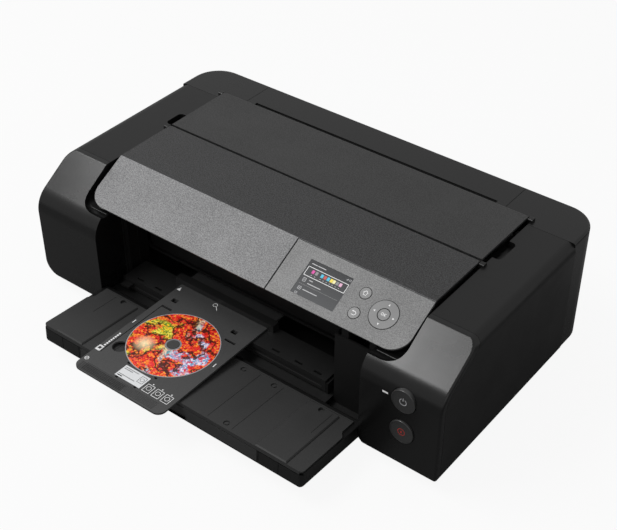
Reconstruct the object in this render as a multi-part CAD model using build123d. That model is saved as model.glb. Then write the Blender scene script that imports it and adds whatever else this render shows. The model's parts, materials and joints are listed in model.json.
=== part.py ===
from build123d import *
import math
import os

os.makedirs("parts", exist_ok=True)

# Inkjet photo printer with two side towers, standing on its rubber feet.
# Millimetres, +Z up, +X to the right of someone facing the front, front towards -Y.
# The origin is on the floor, in the middle of everything that stands on it.
# "depth" counts backwards from the front face, "height" upwards from the shells' lower edge.

# Overall sizes
body_width = 643.6
body_depth = 363.0
shell_height = 167.5
ground_gap = 16.0
cover_rise = 4.5
wall = 3.0
seam = 0.4

# Towers
tower_inner_x = 211.9
tower_slope_height = 121.5
tower_bend_depth = 70.3
tower_nose_radius = 38.0
tower_bend_radius = 4.0
tower_edge_radius = 3.0
tower_top_radius = 14.0
tower_foot_radius_left = 22.0
tower_foot_radius_right = 4
tower_chamfer = 8.0
fascia_top_depth = 77.3
fascia_skin = 9.0
seam_corner_radius = 14.0
rear_seam_depth = 292.5
cover_side_gap = 4.8
step_drop = 15.0
ledge_width = 12.0
notch_width = 11.0
notch_depth = 9.0
notch_left = (196.0, 227.0)
notch_right = (209.0, 249.0)

# Scoop in each tower, round the lower corner of the cover
pocket_gap = 1.2
scoop_floor = 128.0
scoop_front_depth = 10.0
scoop_rear_depth = 44.0
scoop_corner_radius = 26.0
scoop_cove = 10.0

# Top cover, operation panel and rear tray cover
cover_half_width = 248.5
bend_depth = 93.4
slope_angle = 28.1
cover_front_run = 76.3
cover_corner_radius = 26.0
cover_split_depth = 191.6
flap_rear_depth = 304.8
split_gap = 2.4
hinge_round = 2.6
hinge_pin_radius = 1.5
pin_clearance = 0.05
press_gap = 0.02
pin_reach = 5.6
pin_length = 16.0
ear_gap = 1.2
ear_half_depth = 4.0
ear_rise = 2.1
frame_depth = 9.0
frame_inset = 2.5
frame_band = 11.0
panel_width = 196.4
panel_gap = 2.0

# Controls, in the sloping plane: place across from the panel's left edge, run down from the bend
screen_place = 61.7
screen_run = 40.9
screen_width = 62.5
screen_height = 47.6
home_place = 116.2
home_run = 27.0
back_place = 117.3
back_run = 54.6
pad_place = 150.7
pad_run = 40.9
small_button_radius = 7.3
pad_radius = 18.3
button_gap = 0.7
button_rise = 0.5
button_height = 5.0
ok_gap = 0.7

# Front buttons on the right tower
front_button_x = 272.6
power_height = 101.4
stop_height = 54.4
front_button_radius = 16.0
front_button_rise = 2.2
front_button_length = 13.0
front_button_rim = 1.2
front_button_dish = 0.4
flange_radius = 17.6
flange_thickness = 2.0
lens_x = 247.1
lens_height = 100.5
lens_width = 8.0
lens_tall = 3.0

# Rear cover and rear feed panel
rear_inset = 2.0
rear_corner_radius = 42.0
rear_edge_radius = 4.0
feed_panel_half_width = 212.0
feed_panel_front_depth = 306.2
feed_panel_foot_height = 110.0
feed_strip_depth = 8.0
feed_strip_half_width = 198.0
feed_strip_drop = 2.0

# Output tray
tray_half_width = 211.0
tray_reach = 105.1
tray_low = -0.7
tray_shell_top = 22.8
tray_plate_top = 25.0
tray_band_top = 27.2
tray_hinge_depth = 8.0
tray_hinge_height = 16.0
tray_hinge_round = 5.5
tray_pin_radius = 3.0
tray_tilt = 3.8
plate_margin = 1.2
plate_step = 6.0
plate_step_depth = -25.0
plate_skirt = 5.0
skirt_thickness = 3.0
face_gap_x = 176.0
band_groove_x = 178.5
band_inner_x = 141.0
band_outer_x = 187.0
extension_half_width = 144.0
extension_thickness = 3.0
extension_length = 84.0

# Disc tray, disc and sliding guide
disc_tray_x = -48.4
disc_tray_width = 146.0
disc_tray_length = 260.0
disc_tray_reach = 138.5
disc_tray_low = 33.4
disc_tray_top = 36.0
disc_tray_corner = 11.0
disc_radius = 60.0
disc_thickness = 1.2
disc_hole_radius = 7.5
disc_ahead = 35.2
disc_pocket_depth = 1.3
disc_gap = 0.5
guide_left_x = -197.4
guide_right_x = 140.3
guide_front_depth = 30.8
guide_rear_depth = 72.0
guide_low = 15.5
guide_top = 33.0
bar_front_depth = 60.5
bar_top = 44.0

# Paper path and mechanism
path_clearance = 0.4
roller_distance = 62.0
out_roller_radius = 4.0
feed_to_plate = 20.0
feed_roller_radius = 6.0
pinch_radius = 4.0
star_radius = 4.5
roller_half_width = 200.0
gear_radius = 18.0
gear_x = -294.0
gear_width = 7.0
gear_gap = 0.3
gear_teeth = 30
pinion_teeth = 10
idler_bore_radius = 4.05
pinion_radius = 6.0
shaft_radius = 3.0
shaft_gap = 0.05
frame_x = 300.0
frame_plate = 2.0
frame_height = 150.0
rail_to_plate = 16.0
rail_height = 92.0
rail_radius = 5.0
carriage_x = 220.0
carriage_width = 148.0
carriage_length = 60.0
carriage_to_rail = 10.0
carriage_floor = 52.0
carriage_top = 118.0
tank_count = 10
tank_gap = 0.6
head_low = 38.5
head_width = 64.0
head_offset = 29.0
pulley_x = 285.0
pulley_height = 108.0
pulley_radius = 7.0
belt_thickness = 1.2
belt_gap = 0.3
belt_width = 5.0
belt_to_plate = 1.5
rear_plate_depth = 188.0
hopper_gap = 18.0
hopper_low_height = 62.0
hopper_length = 85.0
hopper_high_height = 146.0
pickup_radius = 14.0
feet_radius = 11.0
feet_height = 8.0
screw_head_radius = 3.6
screw_head_height = 1.6
screw_slot_depth = 0.8
screw_slot_length = 4.4
screw_slot_width = 0.8
inner_wall_x = 151.6
inner_wall_depth = 33.0
inner_wall_top = 114.0
star_shaft_radius = 1.5
star_arm_places = (-182, -60, 60, 182)
wheel_places = (-165, -130, -95, -30, 30, 95, 130, 165)
pinch_places = (-160, -96, -32, 32, 96, 160)
service_cap_x0 = 219.0
service_cap_x1 = 279.0
support_half_width = 98.0
support_thickness = 2.4
support_drop = 9.9
support_end_gap = 2.2
guide_rest_x = 168.0
guide_fin = 15.0
groove_places = (-103.0, -66.0, 66.0, 103.0)
recess_places = [
    (-163.5, -8.0), (-91.5, -8.2), (-43.5, -8.5), (43.5, -8.5), (91.5, -8.2), (163.5, -8.0),
    (-91.5, -96.5), (91.5, -96.5),
]
inlet_hole = (-262.0, -234.0, 22.0, 43.0)
usb_hole = (196.0, 209.0, 24.0, 36.0)
network_hole = (216.0, 232.0, 23.0, 37.0)

# Places worked out from the sizes above
half_width = body_width / 2
front_y = disc_tray_reach - (body_depth + disc_tray_reach) / 2
rear_y = front_y + body_depth
top_height = shell_height + cover_rise
step_inner_x = cover_half_width + cover_side_gap
panel_left_x = cover_half_width - panel_width
screen_x = panel_left_x + screen_place
home_x = panel_left_x + home_place
back_x = panel_left_x + back_place
pad_x = panel_left_x + pad_place
belt_depth = rear_plate_depth - belt_width - belt_to_plate
rail_depth = rear_plate_depth - rail_to_plate
carriage_rear_depth = rail_depth - carriage_to_rail
carriage_front_depth = carriage_rear_depth - carriage_length
feed_roller_depth = rear_plate_depth - feed_to_plate
out_roller_depth = feed_roller_depth - roller_distance
hopper_low_depth = rear_plate_depth + hopper_gap
hopper_high_depth = hopper_low_depth + hopper_length
sine = math.sin(math.radians(slope_angle))
cosine = math.cos(math.radians(slope_angle))
cover_axis_depth = cover_split_depth - split_gap / 2 - hinge_round
flap_axis_depth = flap_rear_depth - hinge_round
cover_axis_height = top_height - hinge_round
feed_axis_depth = body_depth - hinge_round
feed_axis_height = feed_panel_foot_height + 0.5 + hinge_round
support_low = top_height - support_drop
star_height = disc_tray_top + path_clearance + star_radius
pinch_height = disc_tray_top + path_clearance + pinch_radius
roller_height_out = disc_tray_low - path_clearance - out_roller_radius
roller_height_feed = disc_tray_low - path_clearance - feed_roller_radius
idler_depth = (out_roller_depth + feed_roller_depth) / 2
idler_height = (roller_height_out + roller_height_feed) / 2
idler_reach = math.hypot(feed_roller_depth - idler_depth, idler_height - roller_height_feed)
idler_radius = idler_reach - gear_radius - gear_gap
pinion_depth = feed_roller_depth + gear_radius + pinion_radius + gear_gap
hopper_run = math.hypot(hopper_high_depth - hopper_low_depth, hopper_high_height - hopper_low_height)


def at_depth(depth):
    """Y of a place that lies this far behind the front face."""
    return front_y + depth


def at_height(height):
    """Z of a place that lies this far above the shells' lower edge."""
    return ground_gap + height


def block(x0, x1, depth0, depth1, height0, height1):
    """Box between two corners, given in x, depth and height."""
    size = (x1 - x0, depth1 - depth0, height1 - height0)
    middle = ((x0 + x1) / 2, at_depth((depth0 + depth1) / 2), at_height((height0 + height1) / 2))
    return Pos(*middle) * Box(*size)


def rod_x(radius, x0, x1, depth, height):
    """Round bar along X."""
    middle = Pos((x0 + x1) / 2, at_depth(depth), at_height(height))
    return middle * Rot(0, 90, 0) * Cylinder(radius, x1 - x0)


def rod_y(radius, x, depth0, depth1, height):
    """Round bar along Y."""
    middle = Pos(x, at_depth((depth0 + depth1) / 2), at_height(height))
    return middle * Rot(90, 0, 0) * Cylinder(radius, depth1 - depth0)


def rod_z(radius, x, depth, height0, height1):
    """Upright round bar."""
    middle = Pos(x, at_depth(depth), at_height((height0 + height1) / 2))
    return middle * Cylinder(radius, height1 - height0)


def prism(points, x0, x1, radii=None):
    """Solid of one side view, given as depth and height points, from x0 to x1."""
    places = [(at_depth(depth), at_height(height)) for depth, height in points]
    outline = FilletPolyline(*places, radius=radii or [0] * len(places), close=True)
    return Pos(x0, 0, 0) * extrude(Plane.YZ * make_face(outline), x1 - x0)


def on_slope(x, run, rise=0.0):
    """Place on the sloping plane: x, distance down from the bend, distance above the plane."""
    plane = Plane(
        origin=(0, at_depth(bend_depth), at_height(top_height)),
        x_dir=(1, 0, 0),
        z_dir=(0, -sine, cosine),
    )
    return Location(plane) * Pos(x, -run, rise)


def slope_plate(x0, x1, run0, run1, rise0, rise1, corners=None):
    """Plate in the sloping plane; corners are radii at low left, low right, high right, high left."""
    places = [(x0, -run1), (x1, -run1), (x1, -run0), (x0, -run0)]
    outline = FilletPolyline(*places, radius=corners or [0, 0, 0, 0], close=True)
    return on_slope(0, 0, rise0) * extrude(make_face(outline), rise1 - rise0)


def slope_disc(x, run, radius, rise0, rise1):
    """Round bar standing square on the sloping plane."""
    return on_slope(x, run, (rise0 + rise1) / 2) * Cylinder(radius, rise1 - rise0)


def mirrored(part):
    """The same piece on the other side."""
    return mirror(part, about=Plane.YZ)


def joined(pieces):
    """One body of several pieces that run into each other."""
    whole = pieces[0]
    for piece in pieces[1:]:
        whole = whole + piece
    return whole


def group(pieces):
    """Separate solids that share one name."""
    return Compound(children=[piece for piece in pieces])


def slope_line(inset):
    """Front and top ends of the tower's slope in the side view, moved inwards by inset."""
    angle = math.atan2(shell_height - tower_slope_height, tower_bend_depth)
    low = tower_slope_height - inset * math.tan((math.pi / 2 - angle) / 2)
    return (inset, low), (tower_bend_depth + inset * math.tan(angle / 2), shell_height - inset)


def tower_side(inset, bottom):
    """Side view of a tower, moved inwards by inset, as a bar across it."""
    nose, bend = slope_line(inset)
    rear = rear_seam_depth + inset
    points = [(inset, bottom), nose, bend, (rear, shell_height - inset), (rear, bottom)]
    radii = [0, tower_nose_radius - inset, max(tower_bend_radius - inset, 0), 0, 0]
    return prism(points, tower_inner_x - 1, half_width + 1, radii)


def tower_section(inset, foot_radius):
    """Front view of the right-hand tower, moved inwards by inset, as a bar along it."""
    left = tower_inner_x + inset
    right = half_width - inset
    low = at_height(inset)
    high = at_height(shell_height - inset)
    cut = tower_chamfer - inset * (2 - math.sqrt(2))
    places = [(left + cut, low), (right, low), (right, high), (left, high), (left, low + cut)]
    radii = [0, foot_radius - inset, tower_top_radius - inset, 0, 0]
    outline = FilletPolyline(*places, radius=radii, close=True)
    length = rear_seam_depth + inset
    return Pos(0, at_depth(length), 0) * extrude(Plane.XZ * make_face(outline), length + 1)


def tower_block(foot_radius):
    """Solid right-hand tower with its rounded outer edges."""
    solid = tower_side(0, 0) & tower_section(0, foot_radius)
    outer_face = solid.faces().filter_by(Axis.X).sort_by(Axis.X)[-1]
    edges = [
        edge
        for edge in outer_face.edges()
        if edge.center().Y < at_depth(tower_bend_depth) and edge.center().Z > at_height(foot_radius + 1)
    ]
    return fillet(edges, tower_edge_radius)


def tower_void(foot_radius):
    """Room inside the right-hand tower: open below and, farther back, inwards."""
    front = tower_side(wall, -1) & tower_section(wall, foot_radius)
    below = block(
        tower_inner_x + wall, half_width - foot_radius, wall, rear_seam_depth + 1, -1, wall + 0.01
    )
    top = shell_height - step_drop - wall
    back = block(0, step_inner_x + wall, fascia_top_depth, rear_seam_depth + 1, -1, top)
    return front + below + back


def cover_pocket(grow):
    """Room for the cover or panel in the right-hand tower's top, made larger all round by grow."""
    side = step_inner_x + grow
    run = cover_front_run - frame_inset + pocket_gap + grow
    drop = wall + frame_depth + 2 + grow
    corner = cover_corner_radius - frame_inset + pocket_gap + grow
    plate = slope_plate(0, side, 0, run, -drop, 30, [0, corner, 0, 0])
    low = shell_height - step_drop - grow
    return plate + block(0, side, bend_depth - 8, rear_seam_depth + 1, low, shell_height + 30)


def scoop(grow):
    """Hollow with a level floor round the lower corner of the cover, made larger all round by grow."""
    room = block(
        0, step_inner_x + grow, scoop_front_depth - grow, scoop_rear_depth + grow,
        scoop_floor - grow, shell_height,
    )
    corner = room.edges().filter_by(Axis.Z).sort_by(Axis.X)[-2:].sort_by(Axis.Y)[0]
    room = fillet(corner, scoop_corner_radius + grow)
    floor = room.faces().sort_by(Axis.Z)[0]
    rim = [
        edge
        for edge in floor.edges()
        if edge.center().X > 1 and edge.center().Y < at_depth(scoop_rear_depth)
    ]
    return fillet(rim, scoop_cove + grow)


def fascia_region(grow):
    """Everything that belongs to the front fascia of the right-hand tower, made thicker by grow."""
    inset = fascia_skin + grow
    nose, bend = slope_line(inset)
    rear = fascia_top_depth + grow
    turn = nose[1] + (rear - nose[0]) * (bend[1] - nose[1]) / (bend[0] - nose[0])
    high = shell_height + seam_corner_radius
    points = [(inset, -1), nose, (rear, turn), (rear, high), (rear + 20, high), (rear + 20, -1)]
    radii = [0, tower_nose_radius - inset, seam_corner_radius, 0, 0, 0]
    kept = prism(points, 0, half_width + 1, radii)
    whole = block(tower_inner_x - 1, half_width + 1, -1, rear, -1, shell_height + 5)
    return whole - (kept - block(0, tower_inner_x + wall + 1, -2, rear, -2, shell_height))


def tower_shell(foot_radius):
    """Right-hand tower shell, before it is parted into fascia and side cover."""
    solid = tower_block(foot_radius)
    front = block(0, half_width, -1, bend_depth + 12, 0, shell_height + 1)
    lining = (cover_pocket(wall) + scoop(wall)) & solid & front
    shell = (solid - tower_void(foot_radius)) + lining
    shell = shell - cover_pocket(0) - scoop(0)
    ledge = block(
        step_inner_x - ledge_width, step_inner_x + 1, bend_depth + 11, rear_seam_depth,
        shell_height - step_drop - wall, shell_height - step_drop,
    )
    return shell + ledge


def finger_notch(front, rear):
    """Notch beside the rear tray cover, to lift it by."""
    notch = block(
        step_inner_x - 1, step_inner_x + notch_width, front, rear,
        shell_height - notch_depth, shell_height + 5,
    )
    upright = notch.edges().filter_by(Axis.Z).sort_by(Axis.X)[-2:]
    return fillet(upright, 6)


def notch_lining(front, rear):
    """Floor and walls of the finger notch."""
    outer = block(
        step_inner_x + 0.5, step_inner_x + notch_width + wall, front - wall, rear + wall,
        shell_height - notch_depth - wall, shell_height - wall,
    )
    return outer


def front_fascia(foot_radius, with_controls):
    """Front piece of the right-hand tower; the tray's hinge pin sits in its inner wall."""
    shell = tower_shell(foot_radius) & fascia_region(0)
    bore = rod_x(
        tray_pin_radius + press_gap, tower_inner_x - 1, tower_inner_x + wall + 1,
        tray_hinge_depth, tray_hinge_height,
    )
    shell = shell - bore
    if with_controls:
        for height in (power_height, stop_height):
            shell = shell - rod_y(front_button_radius + button_gap, front_button_x, -5, 20, height)
        shell = shell - block(
            lens_x - lens_width / 2, lens_x + lens_width / 2, -5, 12,
            lens_height - lens_tall / 2, lens_height + lens_tall / 2,
        )
    return largest(shell)


def largest(shape):
    """The main solid, without any sliver that a cut leaves beside it."""
    return shape.solids().sort_by(SortBy.VOLUME)[-1]


def hinge_ear(depth):
    """Lug beside the cover that holds a hinge pin above the right-hand tower's top."""
    x0 = cover_half_width + ear_gap
    x1 = step_inner_x + wall
    upright = block(
        x0, x1, depth - ear_half_depth, depth + ear_half_depth,
        shell_height - step_drop - wall, cover_axis_height + ear_rise,
    )
    edges = upright.edges().filter_by(Axis.X).sort_by(Axis.Z)[-2:]
    return fillet(edges, ear_rise)


def pin_bore(half, depth):
    """Bore for the hinge pins of a cover, across both sides."""
    reach = half + pin_reach + press_gap
    return rod_x(hinge_pin_radius + press_gap, -reach, reach, depth, cover_axis_height)


def side_cover(foot_radius, notch_front, notch_rear):
    """Outer wall and top of the right-hand tower; the top cover's hinge pin sits in its step."""
    shell = tower_shell(foot_radius) - fascia_region(seam)
    step = block(
        step_inner_x, step_inner_x + wall, fascia_top_depth + seam, rear_seam_depth,
        shell_height - step_drop - wall, shell_height - wall,
    )
    shell = shell + step + notch_lining(notch_front, notch_rear) + hinge_ear(cover_axis_depth)
    bore = pin_bore(cover_half_width, cover_axis_depth)
    return largest(shell - bore - finger_notch(notch_front, notch_rear))


def rear_shell():
    """Rounded rear shell over the whole width, before the feed panel is parted from it."""
    outer_x = half_width - rear_inset
    start = rear_seam_depth + seam
    places = [
        (-outer_x, at_depth(start)), (outer_x, at_depth(start)),
        (outer_x, rear_y), (-outer_x, rear_y),
    ]
    plan = FilletPolyline(*places, radius=[0, 0, rear_corner_radius, rear_corner_radius], close=True)
    solid = Pos(0, 0, at_height(0)) * extrude(make_face(plan), shell_height)
    top_edges = solid.faces().sort_by(Axis.Z)[-1].edges()
    rounded = [edge for edge in top_edges if edge.center().Y > at_depth(start) + 1]
    solid = fillet(rounded, rear_edge_radius)
    inner = [
        (-outer_x + wall, at_depth(start) - 1), (outer_x - wall, at_depth(start) - 1),
        (outer_x - wall, rear_y - wall), (-outer_x + wall, rear_y - wall),
    ]
    inner_radius = rear_corner_radius - wall
    hollow = FilletPolyline(*inner, radius=[0, 0, inner_radius, inner_radius], close=True)
    room = Pos(0, 0, at_height(-1)) * extrude(make_face(hollow), shell_height - wall + 1)
    return solid - room


def rear_cover():
    """Rear shell with the cut for the rear tray cover, the feed panel's opening and the sockets."""
    shell = rear_shell()
    flap_cut = block(
        -step_inner_x, step_inner_x, rear_seam_depth, feed_panel_front_depth,
        shell_height - step_drop, shell_height + 5,
    )
    feed_cut = block(
        -feed_panel_half_width - 0.6, feed_panel_half_width + 0.6, feed_panel_front_depth - 1,
        body_depth + 5, feed_panel_foot_height, shell_height + 5,
    )
    shell = shell - flap_cut - feed_cut
    step = block(
        step_inner_x, step_inner_x + wall, rear_seam_depth + seam, flap_rear_depth + 4,
        shell_height - step_drop, shell_height - wall,
    )
    ear = hinge_ear(flap_axis_depth)
    flap_bore = pin_bore(cover_half_width, flap_axis_depth)
    boss = block(
        feed_panel_half_width + 0.6, feed_panel_half_width + 8, body_depth - 8, body_depth - wall + 0.5,
        feed_panel_foot_height - 4, feed_panel_foot_height + 10,
    )
    panel_bore = rod_x(
        hinge_pin_radius + press_gap, -feed_panel_half_width - 9, feed_panel_half_width + 9,
        feed_axis_depth, feed_axis_height,
    )
    for piece in (step, ear, boss):
        shell = shell + piece + mirrored(piece)
    shell = shell - flap_bore - panel_bore
    for x0, x1, low, high in (inlet_hole, usb_hole, network_hole):
        shell = shell - block(x0, x1, body_depth - 8, body_depth + 2, low, high)
    return largest(shell)


def rear_feed_panel():
    """Cover of the rear single-sheet feed; it folds backwards about its lower edge."""
    half = feed_panel_half_width
    keep = block(-half, half, feed_panel_front_depth, body_depth + 5, feed_axis_height, shell_height + 5)
    strip = block(
        -feed_strip_half_width, feed_strip_half_width, feed_panel_front_depth - 1,
        feed_panel_front_depth + feed_strip_depth, shell_height - feed_strip_drop, shell_height + 5,
    )
    barrel = rod_x(hinge_round, -half, half, feed_axis_depth, feed_axis_height)
    bore = rod_x(hinge_pin_radius + pin_clearance, -half - 1, half + 1, feed_axis_depth, feed_axis_height)
    return largest((rear_shell() & keep) - strip + barrel - bore)


def pin_pair(radius, half_length, depth, height):
    """Two pins on one axis, one at each side, half in the cover and half in the shell."""
    reach = half_length + pin_reach
    right = rod_x(radius, reach - pin_length, reach, depth, height)
    return [right, mirrored(right)]


def hinge_pins():
    """All hinge pins: top cover, rear tray cover, rear feed panel and output tray."""
    pins = pin_pair(hinge_pin_radius, cover_half_width, cover_axis_depth, cover_axis_height)
    pins = pins + pin_pair(hinge_pin_radius, cover_half_width, flap_axis_depth, cover_axis_height)
    pins = pins + pin_pair(hinge_pin_radius, feed_panel_half_width, feed_axis_depth, feed_axis_height)
    tray_half = tower_inner_x + wall - pin_reach
    return group(pins + pin_pair(tray_pin_radius, tray_half, tray_hinge_depth, tray_hinge_height))


def top_cover():
    """Access cover: a dark flat part and a grey slope to the left of the operation panel."""
    half = cover_half_width
    flat = block(-half, half, bend_depth, cover_axis_depth, top_height - wall, top_height)
    slope = slope_plate(
        -half, panel_left_x - panel_gap, 0, cover_front_run, -wall, 0, [cover_corner_radius, 0, 0, 0]
    )
    barrel = rod_x(hinge_round, -half, half, cover_axis_depth, cover_axis_height)
    bore = rod_x(hinge_pin_radius + pin_clearance, -half - 1, half + 1, cover_axis_depth, cover_axis_height)
    return largest(flat + slope + barrel - bore)


def cover_inner_frame():
    """Black frame under the rim of the top cover, seen below its front edge as a thick lip."""
    side = cover_half_width - frame_inset
    low = -wall - frame_depth
    inner_run = cover_front_run - frame_inset - frame_band
    outer = slope_plate(
        -side, panel_left_x - panel_gap, 2, cover_front_run - frame_inset, low, -wall,
        [cover_corner_radius - frame_inset, 0, 0, 0],
    )
    room = slope_plate(
        -side + frame_band, panel_left_x - panel_gap - 6, -20, inner_run, low - 1, -wall + 1,
        [cover_corner_radius - frame_inset - frame_band, 0, 0, 0],
    )
    rail = block(
        -side, -side + frame_band, bend_depth + 2, cover_split_depth - 14,
        top_height - wall - frame_depth, top_height - wall,
    )
    cross = block(
        panel_left_x - panel_gap - 6, side, bend_depth + 2, bend_depth + 8,
        top_height - wall - frame_depth, top_height - wall,
    )
    return largest((outer - room) + rail + mirrored(rail) + cross)


def operation_panel():
    """Grey control panel fixed beside the cover, with holes for the screen and the keys."""
    plate = slope_plate(
        panel_left_x, cover_half_width, 0.8, cover_front_run, -wall, 0, [0, cover_corner_radius, 0, 0]
    )
    plate = plate - screen_room() - behind_bend()
    for x, run in ((home_x, home_run), (back_x, back_run)):
        plate = plate - slope_disc(x, run, small_button_radius + button_gap, -wall - 1, 1)
    return plate - slope_disc(pad_x, pad_run, pad_radius + button_gap, -wall - 1, 1)


def behind_bend():
    """Room of the top cover behind the panel's upper edge."""
    return block(0, half_width, bend_depth - 0.9, bend_depth + 30, shell_height - 30, shell_height + 10)


def screen_room():
    """Room for the screen in the panel."""
    half_x = screen_width / 2
    half_run = screen_height / 2
    return slope_plate(
        screen_x - half_x, screen_x + half_x, screen_run - half_run, screen_run + half_run, -wall - 1, 1
    )


def panel_housing():
    """Black housing under the operation panel: it carries the screen and the keys."""
    low = -wall - frame_depth
    outer = slope_plate(
        panel_left_x + frame_inset, cover_half_width - frame_inset, 4, cover_front_run - frame_inset,
        low, -wall, [0, cover_corner_radius - frame_inset, 0, 0],
    )
    room = slope_plate(
        screen_x - screen_width / 2 - 2, screen_x + screen_width / 2 + 2,
        screen_run - screen_height / 2 - 2, screen_run + screen_height / 2 + 2, low + 3, -wall + 1,
    )
    outer = outer - room - behind_bend()
    key_floor = button_rise - button_height - 1.5
    for x, run in ((home_x, home_run), (back_x, back_run)):
        outer = outer - slope_disc(x, run, small_button_radius + button_gap, key_floor, 1)
    return outer - slope_disc(pad_x, pad_run, pad_radius + button_gap, key_floor, 1)


def screen():
    """Display: a module under the panel and its clear window, flush in the panel."""
    half_x = screen_width / 2
    half_run = screen_height / 2
    window = slope_plate(
        screen_x - half_x + 0.2, screen_x + half_x - 0.2,
        screen_run - half_run + 0.2, screen_run + half_run - 0.2, -wall - 0.1, -0.3,
    )
    module = slope_plate(
        screen_x - half_x - 1.5, screen_x + half_x + 1.5,
        screen_run - half_run - 1.5, screen_run + half_run + 1.5, -wall - frame_depth + 3.2, -wall - 0.1,
    )
    return window + module


def round_key(x, run, radius):
    """Round key with a softened rim."""
    key = Cylinder(radius, button_height)
    key = fillet(key.edges().group_by(Axis.Z)[-1], 0.4)
    return on_slope(x, run, button_rise - button_height / 2) * key


def direction_pad():
    """Ring-shaped four-way key round the middle key."""
    ring = Cylinder(pad_radius, button_height) - Cylinder(small_button_radius + ok_gap, button_height * 2)
    ring = fillet(ring.edges().group_by(Axis.Z)[-1], 0.4)
    return on_slope(pad_x, pad_run, button_rise - button_height / 2) * ring


def front_button(height):
    """Round button of the front face, with a flange that keeps it in."""
    face = Cylinder(front_button_radius, front_button_length)
    face = fillet(face.edges().group_by(Axis.Z)[-1], 0.8)
    dish_radius = front_button_radius - front_button_rim
    dish = Pos(0, 0, front_button_length / 2) * Cylinder(dish_radius, 2 * front_button_dish)
    turned = Rot(90, 0, 0) * (face - dish)
    middle = at_depth(front_button_length / 2 - front_button_rise)
    body = Pos(front_button_x, middle, at_height(height)) * turned
    back = front_button_length - front_button_rise
    return body + rod_y(flange_radius, front_button_x, back - flange_thickness, back, height)


def status_lens():
    """Small lens of the status light."""
    return block(
        lens_x - lens_width / 2 + 0.1, lens_x + lens_width / 2 - 0.1, 0.2, 9,
        lens_height - lens_tall / 2 + 0.1, lens_height + lens_tall / 2 - 0.1,
    )


def button_board():
    """Circuit board behind the front buttons and the status light."""
    back = front_button_length - front_button_rise + 1.6
    board = block(lens_x - 9.1, front_button_x + 27.4, back, back + 1.6, 30, 112)
    for height in (power_height, stop_height):
        board = board + rod_y(3, front_button_x, back - 0.4, back + 0.5, height)
    post = block(front_button_x + 23.4, half_width - wall - 0.1, back - 1, back + 2.6, 60, 90)
    light_pipe = block(lens_x - 2, lens_x + 2, 9, back + 0.5, lens_height - 1, lens_height + 1)
    return board + post + light_pipe


def rear_tray_cover():
    """Flap over the rear paper tray; it folds backwards and becomes the paper rest."""
    half = cover_half_width
    front = cover_split_depth + split_gap / 2
    plate = block(-half, half, front, flap_axis_depth, top_height - wall, top_height)
    barrel = rod_x(hinge_round, -half, half, flap_axis_depth, cover_axis_height)
    bore = rod_x(hinge_pin_radius + pin_clearance, -half - 1, half + 1, flap_axis_depth, cover_axis_height)
    return largest(plate + barrel - bore)


def flap_liner():
    """Ribbed liner inside the flap, with the channel of the paper support."""
    low = top_height - wall - 8
    front = cover_split_depth + split_gap / 2 + 5
    rear = flap_rear_depth - hinge_round * 2 - 3
    slab = block(-cover_half_width + 8, cover_half_width - 8, front, rear, low, top_height - wall)
    channel = block(
        -support_half_width - 0.5, support_half_width + 0.5, front - 1, rear - 3,
        support_low - 0.4, support_low + support_thickness + 0.4,
    )
    return slab - channel


def paper_support():
    """Sliding paper support in the flap's channel."""
    front = cover_split_depth + split_gap / 2 + 5
    rear = flap_rear_depth - hinge_round * 2 - 6 - support_end_gap
    plate = block(
        -support_half_width, support_half_width, front, rear, support_low, support_low + support_thickness
    )
    grip = block(-18, 18, front + 4, front + 14, support_low - 1, support_low + support_thickness + 1)
    return plate - grip


def base_tray():
    """Bottom case: a floor inside the shells and a narrower pan below them."""
    left = -half_width + tower_foot_radius_left + 0.6
    right = half_width - tower_foot_radius_right - 0.6
    floor = block(left, right, 32, rear_seam_depth - 2, 0.5, 4.5)
    middle = block(-tower_inner_x + 0.6, tower_inner_x - 0.6, 24, 60, 0.5, 4.5)
    pan = block(-282, 282, 32, rear_seam_depth + 45, feet_height - ground_gap, 0.5)
    rear = block(-half_width + 60, half_width - 60, rear_seam_depth - 3, body_depth - wall - 0.6, 0.5, 4.5)
    return joined([floor, middle, pan, rear])


def rubber_feet():
    """Six round rubber feet under the pan."""
    feet = []
    for x in (-240, 0, 240):
        for depth in (60, rear_seam_depth + 10):
            feet.append(rod_z(feet_radius, x, depth, -ground_gap, feet_height - ground_gap))
    return group(feet)


def output_surround():
    """Dark deck behind the output tray and the walls beside the output opening."""
    left = -tower_inner_x
    deck = block(left + 1.2, inner_wall_x - 1, 15.5, 78, 10.5, 13.5)
    lips = [block(left + 1.2, inner_wall_x - 1, depth, depth + 3, 4.5, 13.5) for depth in (24.5, 75)]
    rails = [
        block(x, x + 3.6, guide_front_depth, guide_rear_depth, 13, 30)
        for x in (guide_left_x - 4, guide_right_x + 0.4)
    ]
    floor = joined([deck] + lips + rails)
    face_rear = inner_wall_depth + wall
    face = block(inner_wall_x, tower_inner_x - 0.4, inner_wall_depth, face_rear, 4.5, inner_wall_top)
    side = block(inner_wall_x, inner_wall_x + wall, inner_wall_depth, 89.5, 4.5, inner_wall_top)
    posts = [block(x, x + 10, face_rear - 1, face_rear + 5, 90, inner_wall_top + 13.2) for x in (160, 200)]
    right = joined([face, side] + posts)
    plate = block(left + 0.4, left + 3.4, fascia_top_depth - 30, 89.5, 14, 128)
    ribs = [
        block(left + 3, left + 9, depth, depth + 2.5, 16, 124)
        for depth in (fascia_top_depth - 28, fascia_top_depth - 10)
    ]
    return group([floor, right, joined([plate] + ribs)])


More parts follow.
